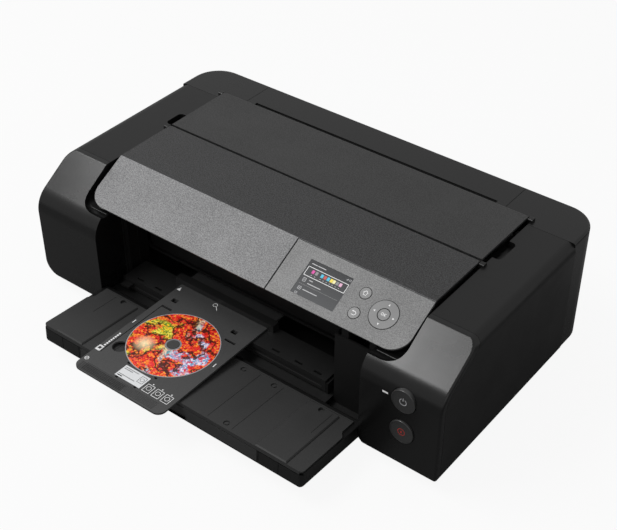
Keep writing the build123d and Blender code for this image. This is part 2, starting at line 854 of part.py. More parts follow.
def slot_cover():
    """Dark cross panel over the paper slot; its bar carries the star wheels."""
    sheet = block(-tower_inner_x + 12, inner_wall_x - 0.4, 88, 90.5, 49, 150)
    foot = block(-tower_inner_x + 12, inner_wall_x - 0.4, 84, 90.5, 47, 51)
    bar = block(-frame_x, frame_x, 90, 98, 47, 51)
    arms = [
        block(x - 1.5, x + 1.5, 97, out_roller_depth + 3, star_height - 3, 51) for x in star_arm_places
    ]
    whole = joined([sheet, foot, bar] + arms)
    bore = rod_x(star_shaft_radius + shaft_gap, -frame_x + 5, frame_x - 5, out_roller_depth, star_height)
    return whole - bore


def star_wheels():
    """Thin star wheels on one shaft over the output roller."""
    shaft = rod_x(star_shaft_radius, -186, 186, out_roller_depth, star_height)
    wheels = [
        rod_x(star_radius, x - 1, x + 1, out_roller_depth, star_height) for x in wheel_places
    ]
    return joined([shaft] + wheels)


def toothed(radius, x, depth, height, teeth):
    """Spur gear with short square teeth on an axis along X."""
    body = rod_x(radius, x - gear_width / 2, x + gear_width / 2, depth, height)
    notches = []
    for index in range(teeth):
        angle = 2 * math.pi * index / teeth
        across = radius * math.cos(angle)
        upward = radius * math.sin(angle)
        place = Pos(x, at_depth(depth + across), at_height(height + upward))
        notches.append(place * Rot(math.degrees(angle), 0, 0) * Box(gear_width + 2, 1.6, 1.4))
    return body - notches


def idler_gear():
    """Gear between the two rollers, on a stub of the left side frame."""
    teeth = round(gear_teeth * idler_radius / gear_radius)
    gear = toothed(idler_radius, gear_x, idler_depth, idler_height, teeth)
    return gear - rod_x(idler_bore_radius, gear_x - 9, gear_x + 9, idler_depth, idler_height)


def feed_pinion():
    """Motor pinion with its shaft."""
    gear = toothed(pinion_radius, gear_x, pinion_depth, roller_height_feed, pinion_teeth)
    return gear + rod_x(2, gear_x, gear_x + 15, pinion_depth, roller_height_feed)


def output_roller():
    """Driven roller at the output, with its shaft and gear."""
    shaft = rod_x(2.5, -frame_x - 1, 214, out_roller_depth, roller_height_out)
    tyres = [
        rod_x(out_roller_radius, x - 9, x + 9, out_roller_depth, roller_height_out)
        for x in wheel_places
    ]
    gear = toothed(gear_radius, gear_x, out_roller_depth, roller_height_out, gear_teeth)
    return joined([shaft, gear] + tyres)


def feed_roller():
    """Coated feed roller ahead of the platen, with its shaft and gear."""
    shaft = rod_x(shaft_radius, -frame_x - 1, 214, feed_roller_depth, roller_height_feed)
    drum = rod_x(
        feed_roller_radius, -roller_half_width, roller_half_width, feed_roller_depth, roller_height_feed
    )
    gear = toothed(gear_radius, gear_x, feed_roller_depth, roller_height_feed, gear_teeth)
    return joined([shaft, gear, drum])


def pinch_rollers():
    """Pinch rollers on one shaft over the feed roller."""
    shaft = rod_x(1.5, -186, 186, feed_roller_depth, pinch_height)
    rollers = [
        rod_x(pinch_radius, x - 14, x + 14, feed_roller_depth, pinch_height) for x in pinch_places
    ]
    return joined([shaft] + rollers)


def pinch_holder():
    """Bar behind the pinch rollers that carries their shaft from the rear plate."""
    front = feed_roller_depth + 7
    bar = block(-190, 190, front, rear_plate_depth, 44.5, 49.5)
    arms = [
        block(x - 1.5, x + 1.5, feed_roller_depth - 3, front + 2, 38, 49.5) for x in (-184, -64, 64, 184)
    ]
    bar = joined([bar] + arms)
    return bar - rod_x(1.5 + shaft_gap, -192, 192, feed_roller_depth, pinch_height)


def platen():
    """Ribbed support under the sheet, between the rollers, on legs from the floor."""
    front = out_roller_depth + 6
    rear = feed_roller_depth - 8
    plate = block(-204, 204, front, rear, 24, 30)
    ribs = [
        block(x - 1, x + 1, front + 2, rear - 2, 30, disc_tray_low - path_clearance)
        for x in range(-195, 200, 26)
    ]
    legs = [block(x - 6, x + 6, front + 18, front + 32, 4.5, 24) for x in (-180, 0, 180)]
    return joined([plate] + ribs + legs)


def right_bearing():
    """Upright plate that carries the right-hand ends of both rollers."""
    plate = block(208, 211, out_roller_depth - 8, feed_roller_depth + 8, 4.5, 36)
    plate = plate - rod_x(2.5 + shaft_gap, 205, 214, out_roller_depth, roller_height_out)
    return plate - rod_x(shaft_radius + shaft_gap, 205, 214, feed_roller_depth, roller_height_feed)


def left_frame():
    """Left side plate with the bearings of the rollers and the idler gear's stub."""
    plate = block(-frame_x - frame_plate, -frame_x, 88, rear_seam_depth - 6, 4.5, frame_height)
    stub = rod_x(
        idler_bore_radius - shaft_gap, -frame_x - 1, gear_x + gear_width / 2 + 1, idler_depth, idler_height
    )
    plate = plate + stub
    plate = plate - rod_x(
        2.5 + shaft_gap, -frame_x - 3, -frame_x + 3, out_roller_depth, roller_height_out
    )
    return plate - rod_x(
        shaft_radius + shaft_gap, -frame_x - 3, -frame_x + 3, feed_roller_depth, roller_height_feed
    )


def side_frames():
    """Steel side plates of the mechanism and the inner bearing plate."""
    right = block(frame_x, frame_x + frame_plate, 88, rear_seam_depth - 6, 4.5, frame_height)
    return group([left_frame(), right, right_bearing()])


def rear_plate():
    """Steel cross plate behind the carriage, with the belt idler's stub and the pickup brackets."""
    rear = rear_plate_depth + frame_plate
    plate = block(-frame_x, frame_x, rear_plate_depth, rear, 44.5, frame_height - 8)
    flange = block(-frame_x, frame_x, rear_plate_depth, rear + 10, frame_height - 10, frame_height - 8)
    stub = rod_y(3, -pulley_x, belt_depth - 1, rear_plate_depth + 0.5, pulley_height)
    hole = rod_y(4, pulley_x, rear_plate_depth - 1, rear + 3, pulley_height)
    depth, height = hopper_point(22, pickup_radius + 0.5)
    arms = [block(x - 1.5, x + 1.5, rear - 0.5, depth + 6, height - 6, height + 6) for x in (-95, 95)]
    bore = rod_x(shaft_radius + shaft_gap, -105, 105, depth, height)
    return joined([plate, flange, stub] + arms) - hole - bore


def carriage_rail():
    """Polished round rail of the carriage."""
    return rod_x(rail_radius, -frame_x, frame_x, rail_depth, rail_height)


def carriage():
    """Print carriage: an open box for the ink tanks on a bearing round the rail."""
    x0 = carriage_x - carriage_width / 2
    x1 = carriage_x + carriage_width / 2
    box = block(x0, x1, carriage_front_depth, carriage_rear_depth, carriage_floor, carriage_top)
    room = block(
        x0 + 2.4, x1 - 2.4, carriage_front_depth + 2.4, carriage_rear_depth - 2.4,
        carriage_floor + 2.5, carriage_top + 1,
    )
    bearing = block(
        x0 + 10, x1 - 10, carriage_rear_depth - 0.5, rail_depth + 8, rail_height - 9, rail_height + 9
    )
    belt_low = pulley_height - pulley_radius - belt_gap - belt_thickness
    clamp = block(
        carriage_x - 10, carriage_x + 10, rail_depth + 7, belt_depth + belt_width - 1,
        belt_low - 5, belt_low - 0.3,
    )
    bore = rod_x(rail_radius + shaft_gap, x0, x1, rail_depth, rail_height)
    return box - room + bearing + clamp - bore


def print_head():
    """Print head under the carriage."""
    middle = carriage_x + head_offset
    front = carriage_front_depth + 11
    rear = carriage_rear_depth - 11
    x0 = middle - head_width / 2
    x1 = middle + head_width / 2
    nozzle = block(x0 + 6, x1 - 6, front + 7, rear - 7, head_low, head_low + 3)
    body = block(x0, x1, front, rear, head_low + 3, carriage_floor)
    return nozzle + body


def ink_tank(index):
    """One slim ink tank with a stepped top and a grip."""
    room = (carriage_width - 4.8) / tank_count
    x0 = carriage_x - carriage_width / 2 + 2.4 + index * room + tank_gap / 2
    x1 = x0 + room - tank_gap
    front = carriage_front_depth + 2.9
    rear = carriage_rear_depth - 2.9
    body = block(x0, x1, front, rear, carriage_floor + 2.5, carriage_top + 4)
    step = block(x0 - 1, x1 + 1, front - 1, front + 14, carriage_top - 4, carriage_top + 10)
    return body - step


def pulley(x):
    """Flanged belt pulley on an axis along Y."""
    rear = belt_depth + belt_width
    drum = rod_y(pulley_radius, x, belt_depth - 0.8, rear + 0.8, pulley_height)
    flanges = [
        rod_y(pulley_radius + 2, x, depth, depth + 0.8, pulley_height) for depth in (belt_depth - 0.8, rear)
    ]
    return joined([drum] + flanges)


def idler_pulley():
    """Free pulley at the left end of the belt."""
    bore = rod_y(3.05, -pulley_x, belt_depth - 2, belt_depth + belt_width + 2, pulley_height)
    return pulley(-pulley_x) - bore


def motor_pulley():
    """Driving pulley at the right end of the belt, with the motor's shaft."""
    rear = rear_plate_depth + frame_plate
    return pulley(pulley_x) + rod_y(2, pulley_x, belt_depth + belt_width, rear + 10, pulley_height)


def carriage_belt():
    """Closed belt round both pulleys."""
    inner = pulley_radius + belt_gap
    loop = SlotCenterToCenter(2 * pulley_x, 2 * (inner + belt_thickness))
    loop = loop - SlotCenterToCenter(2 * pulley_x, 2 * inner)
    band = Rot(90, 0, 0) * extrude(loop, belt_width - 1)
    return Pos(0, at_depth(belt_depth + 0.5) + belt_width - 1, at_height(pulley_height)) * band


def motors():
    """Carriage motor behind the rear plate and feed motor beside the left frame."""
    start = rear_plate_depth + frame_plate
    can = rod_y(16, pulley_x - 5, start, start + 38, pulley_height)
    bore = rod_y(2 + shaft_gap, pulley_x, start - 1, start + 11, pulley_height)
    inner = gear_x + gear_width / 2 + 1.5
    second = rod_x(14, inner, gear_x + 42, pinion_depth, roller_height_feed)
    foot = block(inner, gear_x + 12, pinion_depth + 6, pinion_depth + 20, 4.5, 30)
    second_bore = rod_x(2 + shaft_gap, gear_x, gear_x + 16, pinion_depth, roller_height_feed)
    return group([can - bore, (second + foot) - second_bore])


def service_station():
    """Purge unit in the right-hand tower, under the parked print head, with its wiper."""
    front = carriage_front_depth + 2
    rear = carriage_rear_depth - 2
    body = block(215.2, 296, front, rear, 4.5, 28)
    well = block(service_cap_x0 - 1.5, service_cap_x1 + 1.5, front + 9, rear - 9, 20, 29)
    holder = block(284, 292, front + 12, rear - 12, 27, 31)
    blade = block(287, 288.2, front + 14, rear - 14, 30, 37.5)
    return joined([body - well, holder, blade])


def service_cap():
    """Rubber-lipped cap that rises to seal the nozzles."""
    front = carriage_front_depth + 14
    rear = carriage_rear_depth - 14
    cap = block(service_cap_x0, service_cap_x1, front, rear, 20.4, 36)
    return cap - block(service_cap_x0 + 3, service_cap_x1 - 3, front + 3, rear - 3, 33, 37)


def power_supply():
    """Closed power supply in the rear left corner and its mains inlet in the rear cover."""
    box = block(-292, -214, rear_plate_depth + 26, rear_seam_depth - 16.5, 4.5, 52)
    inlet = socket_block(inlet_hole, 26, 3)
    contacts = [
        block(x - 1.2, x + 1.2, body_depth - 25, body_depth - 6, height, height + 5)
        for x, height in ((-254, 31), (-248, 27), (-242, 31))
    ]
    link = block(-252, -244, rear_seam_depth - 17.5, body_depth - 25, 28, 38)
    return joined([box, inlet, link] + contacts)


def main_board():
    """Control board with its chips, posts and the rear sockets."""
    front = rear_plate_depth + 12
    board = block(-120, 233, front, body_depth - 12, 8, 9.6)
    posts = [
        block(x - 3, x + 3, depth, depth + 6, 4.5, 8)
        for x in (-112, 226)
        for depth in (front + 3, body_depth - 63)
    ]
    chips = [block(x, x + 26, front + 16, front + 42, 9.6, 12.4) for x in (-90, -20, 60, 130)]
    sockets = [socket_block(usb_hole, 16, 1.4), socket_block(network_hole, 18, 1.6)]
    stands = [
        block(hole[0] + 2, hole[1] - 2, body_depth - 20, body_depth - 12, 9, hole[2] + 3)
        for hole in (usb_hole, network_hole)
    ]
    return joined([board] + posts + chips + sockets + stands)


def socket_block(hole, deep, rim):
    """Socket set in the rear cover: a shell with its mouth to the back."""
    x0, x1, low, high = hole
    gap = 0.3
    body = block(x0 + gap, x1 - gap, body_depth - deep, body_depth - 0.6, low + gap, high - gap)
    mouth = block(x0 + rim, x1 - rim, body_depth - deep + 3, body_depth + 1, low + rim, high - rim)
    return body - mouth


def hopper_point(along, above):
    """Depth and height of a place on the sloping floor of the rear tray."""
    step_depth = (hopper_high_depth - hopper_low_depth) / hopper_run
    step_height = (hopper_high_height - hopper_low_height) / hopper_run
    depth = hopper_low_depth + along * step_depth - above * step_height
    height = hopper_low_height + along * step_height + above * step_depth
    return depth, height


def hopper_plate(x0, x1, along0, along1, above0, above1):
    """Plate parallel to the sloping floor of the rear tray."""
    points = [
        hopper_point(along0, above0), hopper_point(along1, above0),
        hopper_point(along1, above1), hopper_point(along0, above1),
    ]
    return prism(points, x0, x1)


def rear_tray_floor():
    """Sloping floor of the rear paper tray, on two feet."""
    plate = hopper_plate(-238, 238, 0, hopper_run, -wall, 0)
    legs = [
        block(x - 2, x + 2, hopper_high_depth - 12, hopper_high_depth - 2, 4.5, hopper_high_height - 12)
        for x in (-236, 236)
    ]
    return joined([plate] + legs)


def paper_guide():
    """Right-hand edge guide of the rear tray: a foot on the floor and an upright fin."""
    foot = hopper_plate(guide_rest_x, guide_rest_x + 34, 40, 100, 0.3, 2.3)
    fin = hopper_plate(guide_rest_x, guide_rest_x + 3, 34, 104, 0.3, guide_fin)
    return foot + fin


def pickup_roller():
    """Pair of rubber pickup rollers on a shaft."""
    depth, height = hopper_point(22, pickup_radius + 0.5)
    shaft = rod_x(shaft_radius, -100, 100, depth, height)
    tyres = [rod_x(pickup_radius, x - 11, x + 11, depth, height) for x in (-34, 34)]
    return joined([shaft] + tyres)


def tilted(part):
    """A piece of the output tray, turned up about the tray's hinge to its rest."""
    axis = Pos(0, at_depth(tray_hinge_depth), at_height(tray_hinge_height))
    return axis * Rot(-tray_tilt, 0, 0) * axis.inverse() * part


def tray_shell():
    """Lower shell of the output tray, turning on pins in both towers."""
    half = tray_half_width
    solid = block(-half, half, -tray_reach, tray_hinge_depth, tray_low, tray_shell_top)
    low_front = solid.edges().filter_by(Axis.X).sort_by(Axis.Y)[:2].sort_by(Axis.Z)[0]
    solid = fillet(low_front, 2.5)
    corners = solid.edges().filter_by(Axis.Z).sort_by(Axis.Y)[:2]
    solid = fillet(corners, 6)
    solid = solid + rod_x(tray_hinge_round, -half, half, tray_hinge_depth, tray_hinge_height)
    top = tray_shell_top + 1
    room = block(-extension_half_width + 2, extension_half_width - 2, -tray_reach + 9, -4, tray_low + 3, top)
    mouth = block(
        -extension_half_width - 0.4, extension_half_width + 0.4, -tray_reach - 1, -tray_reach + 9.5,
        tray_low + 3, top,
    )
    skirt_room = block(
        -half - 1, half + 1, -tray_reach - 1, -tray_reach + skirt_thickness + 0.6,
        tray_plate_top - plate_skirt - 0.8, top,
    )
    solid = solid - room - mouth - skirt_room
    for side in (-1, 1):
        for x in (extension_half_width + 2.4, face_gap_x):
            solid = solid - block(
                side * x - 0.4, side * x + 0.4, -tray_reach - 1, -tray_reach + 0.8, tray_low + 3, top
            )
    bore = rod_x(tray_pin_radius + pin_clearance, -half - 1, half + 1, tray_hinge_depth, tray_hinge_height)
    return largest(tilted(solid - bore))


def tray_plate():
    """Upper plate of the output tray: raised bands, shallow grooves and round recesses."""
    wide = tray_half_width - plate_margin
    narrow = wide - plate_step
    front = -tray_reach + 0.2
    outline = [
        (-wide, front), (wide, front), (wide, plate_step_depth - 4), (narrow, plate_step_depth + 4),
        (narrow, 2), (-narrow, 2), (-narrow, plate_step_depth + 4), (-wide, plate_step_depth - 4),
    ]
    places = [(x, at_depth(depth)) for x, depth in outline]
    sheet = FilletPolyline(*places, radius=[5, 5, 2, 2, 0, 0, 2, 2], close=True)
    plate = Pos(0, 0, at_height(tray_shell_top)) * extrude(make_face(sheet), tray_plate_top - tray_shell_top)
    skirt = block(
        -wide + 4, wide - 4, front, front + skirt_thickness, tray_plate_top - plate_skirt, tray_plate_top
    )
    plate = plate + skirt
    for side in (-1, 1):
        x0, x1 = sorted((side * band_inner_x, side * band_outer_x))
        band = block(x0, x1, front, -4, tray_plate_top - 1, tray_band_top)
        edges = band.edges().filter_by(Axis.Y).sort_by(Axis.Z)[-2:]
        band = chamfer(edges, 1.4)
        lip = band.edges().filter_by(Axis.X).sort_by(Axis.Z)[-2:].sort_by(Axis.Y)[0]
        plate = plate + chamfer(lip, 1.4)
        x = side * band_groove_x
        plate = plate - block(x - 0.3, x + 0.3, -48, -6, tray_band_top - 0.5, tray_band_top + 1)
    for x in groove_places:
        plate = plate - block(x - 0.3, x + 0.3, -tray_reach + 4, -3, tray_plate_top - 0.5, tray_plate_top + 3)
    for x, depth in recess_places:
        plate = plate - rod_z(4.2, x, depth, tray_plate_top - 1.4, tray_band_top + 3)
        plate = plate + rod_z(2.4, x, depth, tray_plate_top - 1.5, tray_plate_top - 0.4)
    rear = block(-narrow, narrow, -0.6, 0.6, tray_plate_top - 1, tray_plate_top + 0.5)
    return tilted(plate + rear)


def tray_extension():
    """Sliding extension of the output tray; its front bar closes the tray's front."""
    low = tray_low + 3.3
    sheet = block(
        -extension_half_width + 3, extension_half_width - 3, -tray_reach + 5, extension_length - tray_reach,
        low, low + extension_thickness,
    )
    bar = block(
        -extension_half_width, extension_half_width, -tray_reach, -tray_reach + 8,
        low, tray_plate_top - plate_skirt - 0.8,
    )
    grip = block(-34, 34, -tray_reach - 1, -tray_reach + 2.5, tray_low + 3, tray_low + 9)
    return tilted(sheet + bar - grip)


def disc_guide():
    """Pull-out guide under the disc tray: a slotted shelf with a bridge that holds the tray down."""
    shelf = block(
        guide_left_x, guide_right_x, guide_front_depth, guide_rear_depth, guide_top - 2.6, guide_top
    )
    front = block(guide_left_x, guide_right_x, guide_front_depth, guide_front_depth + 3, guide_low, guide_top)
    groove = block(
        guide_left_x + 6, guide_right_x - 6, guide_front_depth - 1, guide_front_depth + 1.2,
        guide_low + 5, guide_low + 11,
    )
    ends = [
        block(x, x + 3, guide_front_depth, guide_rear_depth, guide_low, guide_top)
        for x in (guide_left_x, guide_right_x - 3)
    ]
    ribs = [
        block(x, x + 2, guide_front_depth, guide_rear_depth - 4, guide_low + 1, guide_top - 2)
        for x in (-120, -50, 20, 80)
    ]
    shelf = joined([shelf, front] + ends + ribs) - groove
    for x in (-180, -148, 52, 88, 118):
        shelf = shelf - block(x, x + 12, guide_front_depth + 5, guide_front_depth + 8, 20, guide_top + 1)
    x0 = disc_tray_x - disc_tray_width / 2
    x1 = disc_tray_x + disc_tray_width / 2
    gap = path_clearance
    legs = [
        block(a, b, bar_front_depth, guide_rear_depth, guide_top - 1, bar_top)
        for a, b in ((x0 - 10, x0 - gap), (x1 + gap, x1 + 10))
    ]
    bridge = block(
        x0 - 10, x1 + 10, bar_front_depth, guide_rear_depth, disc_tray_top + gap + 0.1, bar_top
    )
    tab = block(guide_left_x, guide_left_x + 14, guide_front_depth - 9, guide_front_depth + 1, 22, 25)
    return joined([shelf] + legs + [bridge, tab])


def disc_tray():
    """Flat carrier for one disc, with grip ribs, finger hole, windows and slots."""
    x0 = disc_tray_x - disc_tray_width / 2
    x1 = disc_tray_x + disc_tray_width / 2
    y0 = -disc_tray_reach
    y1 = disc_tray_length - disc_tray_reach
    places = [(x0, at_depth(y0)), (x1, at_depth(y0)), (x1, at_depth(y1)), (x0, at_depth(y1))]
    outline = FilletPolyline(*places, radius=disc_tray_corner, close=True)
    tray = Pos(0, 0, at_height(disc_tray_low)) * extrude(make_face(outline), disc_tray_top - disc_tray_low)
    pocket_floor = disc_tray_top - disc_pocket_depth
    tray = tray - rod_z(disc_radius + disc_gap, disc_tray_x, -disc_ahead, pocket_floor, disc_tray_top + 1)
    tray = tray + rod_z(
        disc_hole_radius - 0.15, disc_tray_x, -disc_ahead, pocket_floor - 0.5, disc_tray_top + 0.2
    )
    tray = tray - rod_z(10, disc_tray_x - 50, -disc_ahead - 43.5, disc_tray_low - 1, disc_tray_top + 1)
    for index in range(7):
        depth = y0 + 2.6 + index * 1.9
        tray = tray - block(x0 + 13, x1 - 15, depth, depth + 0.9, disc_tray_top - 0.5, disc_tray_top + 1)
    for x in (disc_tray_x - 57, disc_tray_x + 45):
        tray = tray - block(x - 4.5, x + 4.5, 26, 33, disc_tray_low - 1, disc_tray_top + 1)
    for x in (disc_tray_x - 64, disc_tray_x + 44):
        tray = tray - block(x, x + 17, 10.5, 14, disc_tray_low - 1, disc_tray_top + 1)
    tray = tray - block(x0 + 9, x0 + 10.4, -100, 14, disc_tray_top - 1, disc_tray_top + 1)
    for x in (disc_tray_x - 22, disc_tray_x + 23):
        tray = tray - block(x, x + 4, -95, -92, disc_tray_low - 1, disc_tray_top + 1)
    for x in (disc_tray_x - 16.5, disc_tray_x + 14):
        tray = tray - block(x, x + 4, -122, -111, disc_tray_low - 1, disc_tray_top + 1)
    return tray


def disc():
    """Printable disc in the tray's pocket."""
    low = disc_tray_top - disc_pocket_depth + 0.02
    plate = rod_z(disc_radius, disc_tray_x, -disc_ahead, low, low + disc_thickness)
    return plate - rod_z(disc_hole_radius, disc_tray_x, -disc_ahead, low - 1, low + 2)


def case_screws():
    """Cross-head screws that hold the shells to the base from below."""
    pieces = []
    pan_face = feet_height - ground_gap
    low = pan_face - screw_head_height
    slot_top = low + screw_slot_depth
    long = screw_slot_length / 2
    wide = screw_slot_width / 2
    for x in (-270, -90, 90, 270):
        for depth in (90, rear_seam_depth - 24):
            head = rod_z(screw_head_radius, x, depth, low, pan_face)
            for reach, half in ((long, wide), (wide, long)):
                head = head - block(x - reach, x + reach, depth - half, depth + half, low - 1, slot_top)
            pieces.append(head)
    return group(pieces)


def save(name, shape):
    """Write one node."""
    export_step(shape, f"parts/{name}.step")


def save_shells():
    """Write the shells, covers and hinges."""
    save("front_fascia_right", front_fascia(tower_foot_radius_right, True))
    save("front_fascia_left", mirrored(front_fascia(tower_foot_radius_left, False)))
    save("side_cover_right", side_cover(tower_foot_radius_right, *notch_right))
    save("side_cover_left", mirrored(side_cover(tower_foot_radius_left, *notch_left)))
    save("rear_cover", rear_cover())
    save("rear_feed_panel", rear_feed_panel())
    save("top_cover", top_cover())
    save("cover_inner_frame", cover_inner_frame())
    save("rear_tray_cover", rear_tray_cover())
    save("flap_liner", flap_liner())
    save("paper_support", paper_support())
    save("hinge_pins", hinge_pins())
    save("base_tray", base_tray())
    save("rubber_feet", rubber_feet())
    save("case_screws", case_screws())


def save_controls():
    """Write the operation panel and all buttons."""
    save("operation_panel", operation_panel())
    save("panel_housing", panel_housing())
    save("screen", screen())
    save("home_button", round_key(home_x, home_run, small_button_radius))
    save("back_button", round_key(back_x, back_run, small_button_radius))
    save("ok_button", round_key(pad_x, pad_run, small_button_radius))
    save("direction_pad", direction_pad())
    save("power_button", front_button(power_height))
    save("stop_button", front_button(stop_height))
    save("status_lens", status_lens())
    save("button_board", button_board())


def save_mechanism():
    """Write the frame, the paper path and the carriage."""
    save("output_surround", output_surround())
    save("slot_cover", slot_cover())
    save("star_wheels", star_wheels())
    save("output_roller", output_roller())
    save("feed_roller", feed_roller())
    save("idler_gear", idler_gear())
    save("feed_pinion", feed_pinion())
    save("pinch_rollers", pinch_rollers())
    save("pinch_holder", pinch_holder())
    save("platen", platen())
    save("side_frames", side_frames())
    save("rear_plate", rear_plate())
    save("carriage_rail", carriage_rail())
    save("carriage", carriage())
    save("print_head", print_head())
    save("ink_tanks", group([ink_tank(index) for index in range(tank_count)]))
    save("carriage_belt", carriage_belt())
    save("idler_pulley", idler_pulley())
    save("motor_pulley", motor_pulley())
    save("motors", motors())
    save("service_station", service_station())
    save("service_cap", service_cap())
    save("power_supply", power_supply())
    save("main_board", main_board())
    save("rear_tray_floor", rear_tray_floor())
    save("paper_guide_right", paper_guide())
    save("paper_guide_left", mirrored(paper_guide()))
    save("pickup_roller", pickup_roller())


def save_trays():
    """Write the output tray, the guide, the disc tray and the disc."""
    save("output_tray_shell", tray_shell())
    save("output_tray_plate", tray_plate())
    save("output_tray_extension", tray_extension())
    save("disc_guide", disc_guide())
    save("disc_tray", disc_tray())
    save("disc", disc())


save_shells()
save_controls()
save_mechanism()
save_trays()
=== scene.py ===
import json
import math

import bpy
from mathutils import Matrix, Vector


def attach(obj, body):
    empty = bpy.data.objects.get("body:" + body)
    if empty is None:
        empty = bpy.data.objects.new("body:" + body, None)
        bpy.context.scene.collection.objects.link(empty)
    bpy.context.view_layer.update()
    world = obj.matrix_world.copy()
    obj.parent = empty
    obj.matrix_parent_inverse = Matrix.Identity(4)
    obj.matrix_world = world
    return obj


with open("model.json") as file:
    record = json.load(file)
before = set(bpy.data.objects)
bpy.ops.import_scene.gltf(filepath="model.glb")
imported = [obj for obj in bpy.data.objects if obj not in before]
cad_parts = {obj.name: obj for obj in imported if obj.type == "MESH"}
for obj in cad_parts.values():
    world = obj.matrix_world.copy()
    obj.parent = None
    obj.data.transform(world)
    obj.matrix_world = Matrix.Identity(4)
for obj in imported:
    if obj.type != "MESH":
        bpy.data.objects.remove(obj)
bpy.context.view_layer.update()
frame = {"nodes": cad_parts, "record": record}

NODES = frame["nodes"]

# Places of the model, in millimetres as the source has them; depth counts back from the front face
FRONT_Y = -112.25
GROUND_GAP = 16.0
TOP_HEIGHT = 172.0
BEND_DEPTH = 93.4
SLOPE = math.radians(28.1)
MM = 0.001


def place(x, depth, height):
    """A point of the frame in metres."""
    return Vector((x, FRONT_Y + depth, GROUND_GAP + height)) / 1000


def y_of(depth):
    """World Y of a depth, in metres."""
    return place(0, depth, 0).y


def slope_matrix():
    """Frame of the sloping plane in millimetres: local x right, y up the slope, z off the surface."""
    origin = place(0, BEND_DEPTH, TOP_HEIGHT)
    across = Vector((1, 0, 0))
    up = Vector((0, math.cos(SLOPE), math.sin(SLOPE)))
    out = across.cross(up)
    turn = Matrix((across, up, out)).transposed().to_4x4()
    return Matrix.Translation(origin) @ turn @ Matrix.Scale(MM, 4)


def front_matrix(depth):
    """Frame of an upright plane facing the front: local x right, y up, z towards the front."""
    turn = Matrix(((1, 0, 0), (0, 0, -1), (0, 1, 0))).to_4x4()
    return Matrix.Translation(place(0, depth, 0)) @ turn @ Matrix.Scale(MM, 4)


def flat_matrix(height):
    """Frame of a level plane: local x right, y backwards, z up, with y as depth."""
    return Matrix.Translation(place(0, 0, height)) @ Matrix.Scale(MM, 4)


# Materials

COARSE_GRAIN = 760
SLOW_SCALE = 18
BEND_MARGIN = 0.5
SCREEN_DEPTHS = (36, 79)

# Print of the disc, in metres from its middle
DISC_X = -48.4
DISC_DEPTH = -35.2
BRANCH_COLOUR = (0.035, 0.008, 0.006)
GLOW_PLACE = (-0.03, -0.02, 0)
GLOW_COLOUR = (0.95, 0.85, 0.5)
DISC_RINGS = [
    ("LESS_THAN", 0.0107, (0.2, 0.2, 0.21)),
    ("LESS_THAN", 0.0085, (0.05, 0.05, 0.052)),
    ("GREATER_THAN", 0.0588, (0.3, 0.3, 0.31)),
]
WARM_FLECKS = [
    (0.62, 0.012, 0.008), (0.8, 0.05, 0.01), (0.3, 0.006, 0.006), (0.88, 0.17, 0.02),
    (0.68, 0.02, 0.03), (0.9, 0.33, 0.03), (0.5, 0.01, 0.012), (0.78, 0.08, 0.05),
]
MEADOW_FLECKS = [
    (0.72, 0.6, 0.03), (0.16, 0.28, 0.02), (0.85, 0.42, 0.02),
    (0.05, 0.12, 0.015), (0.8, 0.7, 0.1), (0.3, 0.36, 0.03),
]
SKY_FLECKS = [
    (0.62, 0.6, 0.75), (0.12, 0.32, 0.5), (0.8, 0.7, 0.78),
    (0.6, 0.05, 0.08), (0.25, 0.4, 0.62), (0.5, 0.3, 0.5),
]


def new_material(name):
    """Material with a principled shader; returns it, its tree, the shader and the object coordinates."""
    material = bpy.data.materials.new(name)
    material.use_nodes = True
    tree = material.node_tree
    shader = tree.nodes["Principled BSDF"]
    coords = tree.nodes.new("ShaderNodeTexCoord")
    return material, tree, shader, coords.outputs["Object"]


def noise(tree, coords, scale, detail=3.0, rough=0.55):
    """Noise texture of a scale per metre."""
    node = tree.nodes.new("ShaderNodeTexNoise")
    node.inputs["Scale"].default_value = scale
    node.inputs["Detail"].default_value = detail
    node.inputs["Roughness"].default_value = rough
    tree.links.new(coords, node.inputs["Vector"])
    return node.outputs["Fac"]


def spread(tree, value, low, high, from_low=0.3, from_high=0.7):
    """Map a noise value to a range."""
    node = tree.nodes.new("ShaderNodeMapRange")
    node.inputs["From Min"].default_value = from_low
    node.inputs["From Max"].default_value = from_high
    node.inputs["To Min"].default_value = low
    node.inputs["To Max"].default_value = high
    tree.links.new(value, node.inputs["Value"])
    return node.outputs["Result"]


def ramp(tree, value, stops):
    """Colour ramp over a value; stops are (place, colour)."""
    node = tree.nodes.new("ShaderNodeValToRGB")
    elements = node.color_ramp.elements
    while len(elements) < len(stops):
        elements.new(0.5)
    for element, (where, colour) in zip(elements, stops):
        element.position = where
        element.color = (*colour, 1)
    tree.links.new(value, node.inputs["Fac"])
    return node.outputs["Color"]


def bump(tree, shader, height, strength, distance):
    """Bump from a height value, in metres."""
    node = tree.nodes.new("ShaderNodeBump")
    node.inputs["Strength"].default_value = strength
    node.inputs["Distance"].default_value = distance
    tree.links.new(height, node.inputs["Height"])
    tree.links.new(node.outputs["Normal"], shader.inputs["Normal"])


def scaled(colour, factor):
    """Colour times a factor."""
    return tuple(factor * part for part in colour)


def moulded(name, dark, light, rough, grain, grain_depth, specular, tint=(1, 1, 1)):
    """Moulded plastic: fine grain in colour and bump, slow variation in roughness."""
    material, tree, shader, coords = new_material(name)
    fine = noise(tree, coords, grain, 2.0)
    colour = ramp(tree, fine, [(0.3, scaled(tint, dark)), (0.7, scaled(tint, light))])
    tree.links.new(colour, shader.inputs["Base Color"])
    slow = noise(tree, coords, SLOW_SCALE)
    tree.links.new(spread(tree, slow, rough * 0.88, rough * 1.12), shader.inputs["Roughness"])
    shader.inputs["Specular IOR Level"].default_value = specular
    bump(tree, shader, fine, 0.6, grain_depth)
    return material


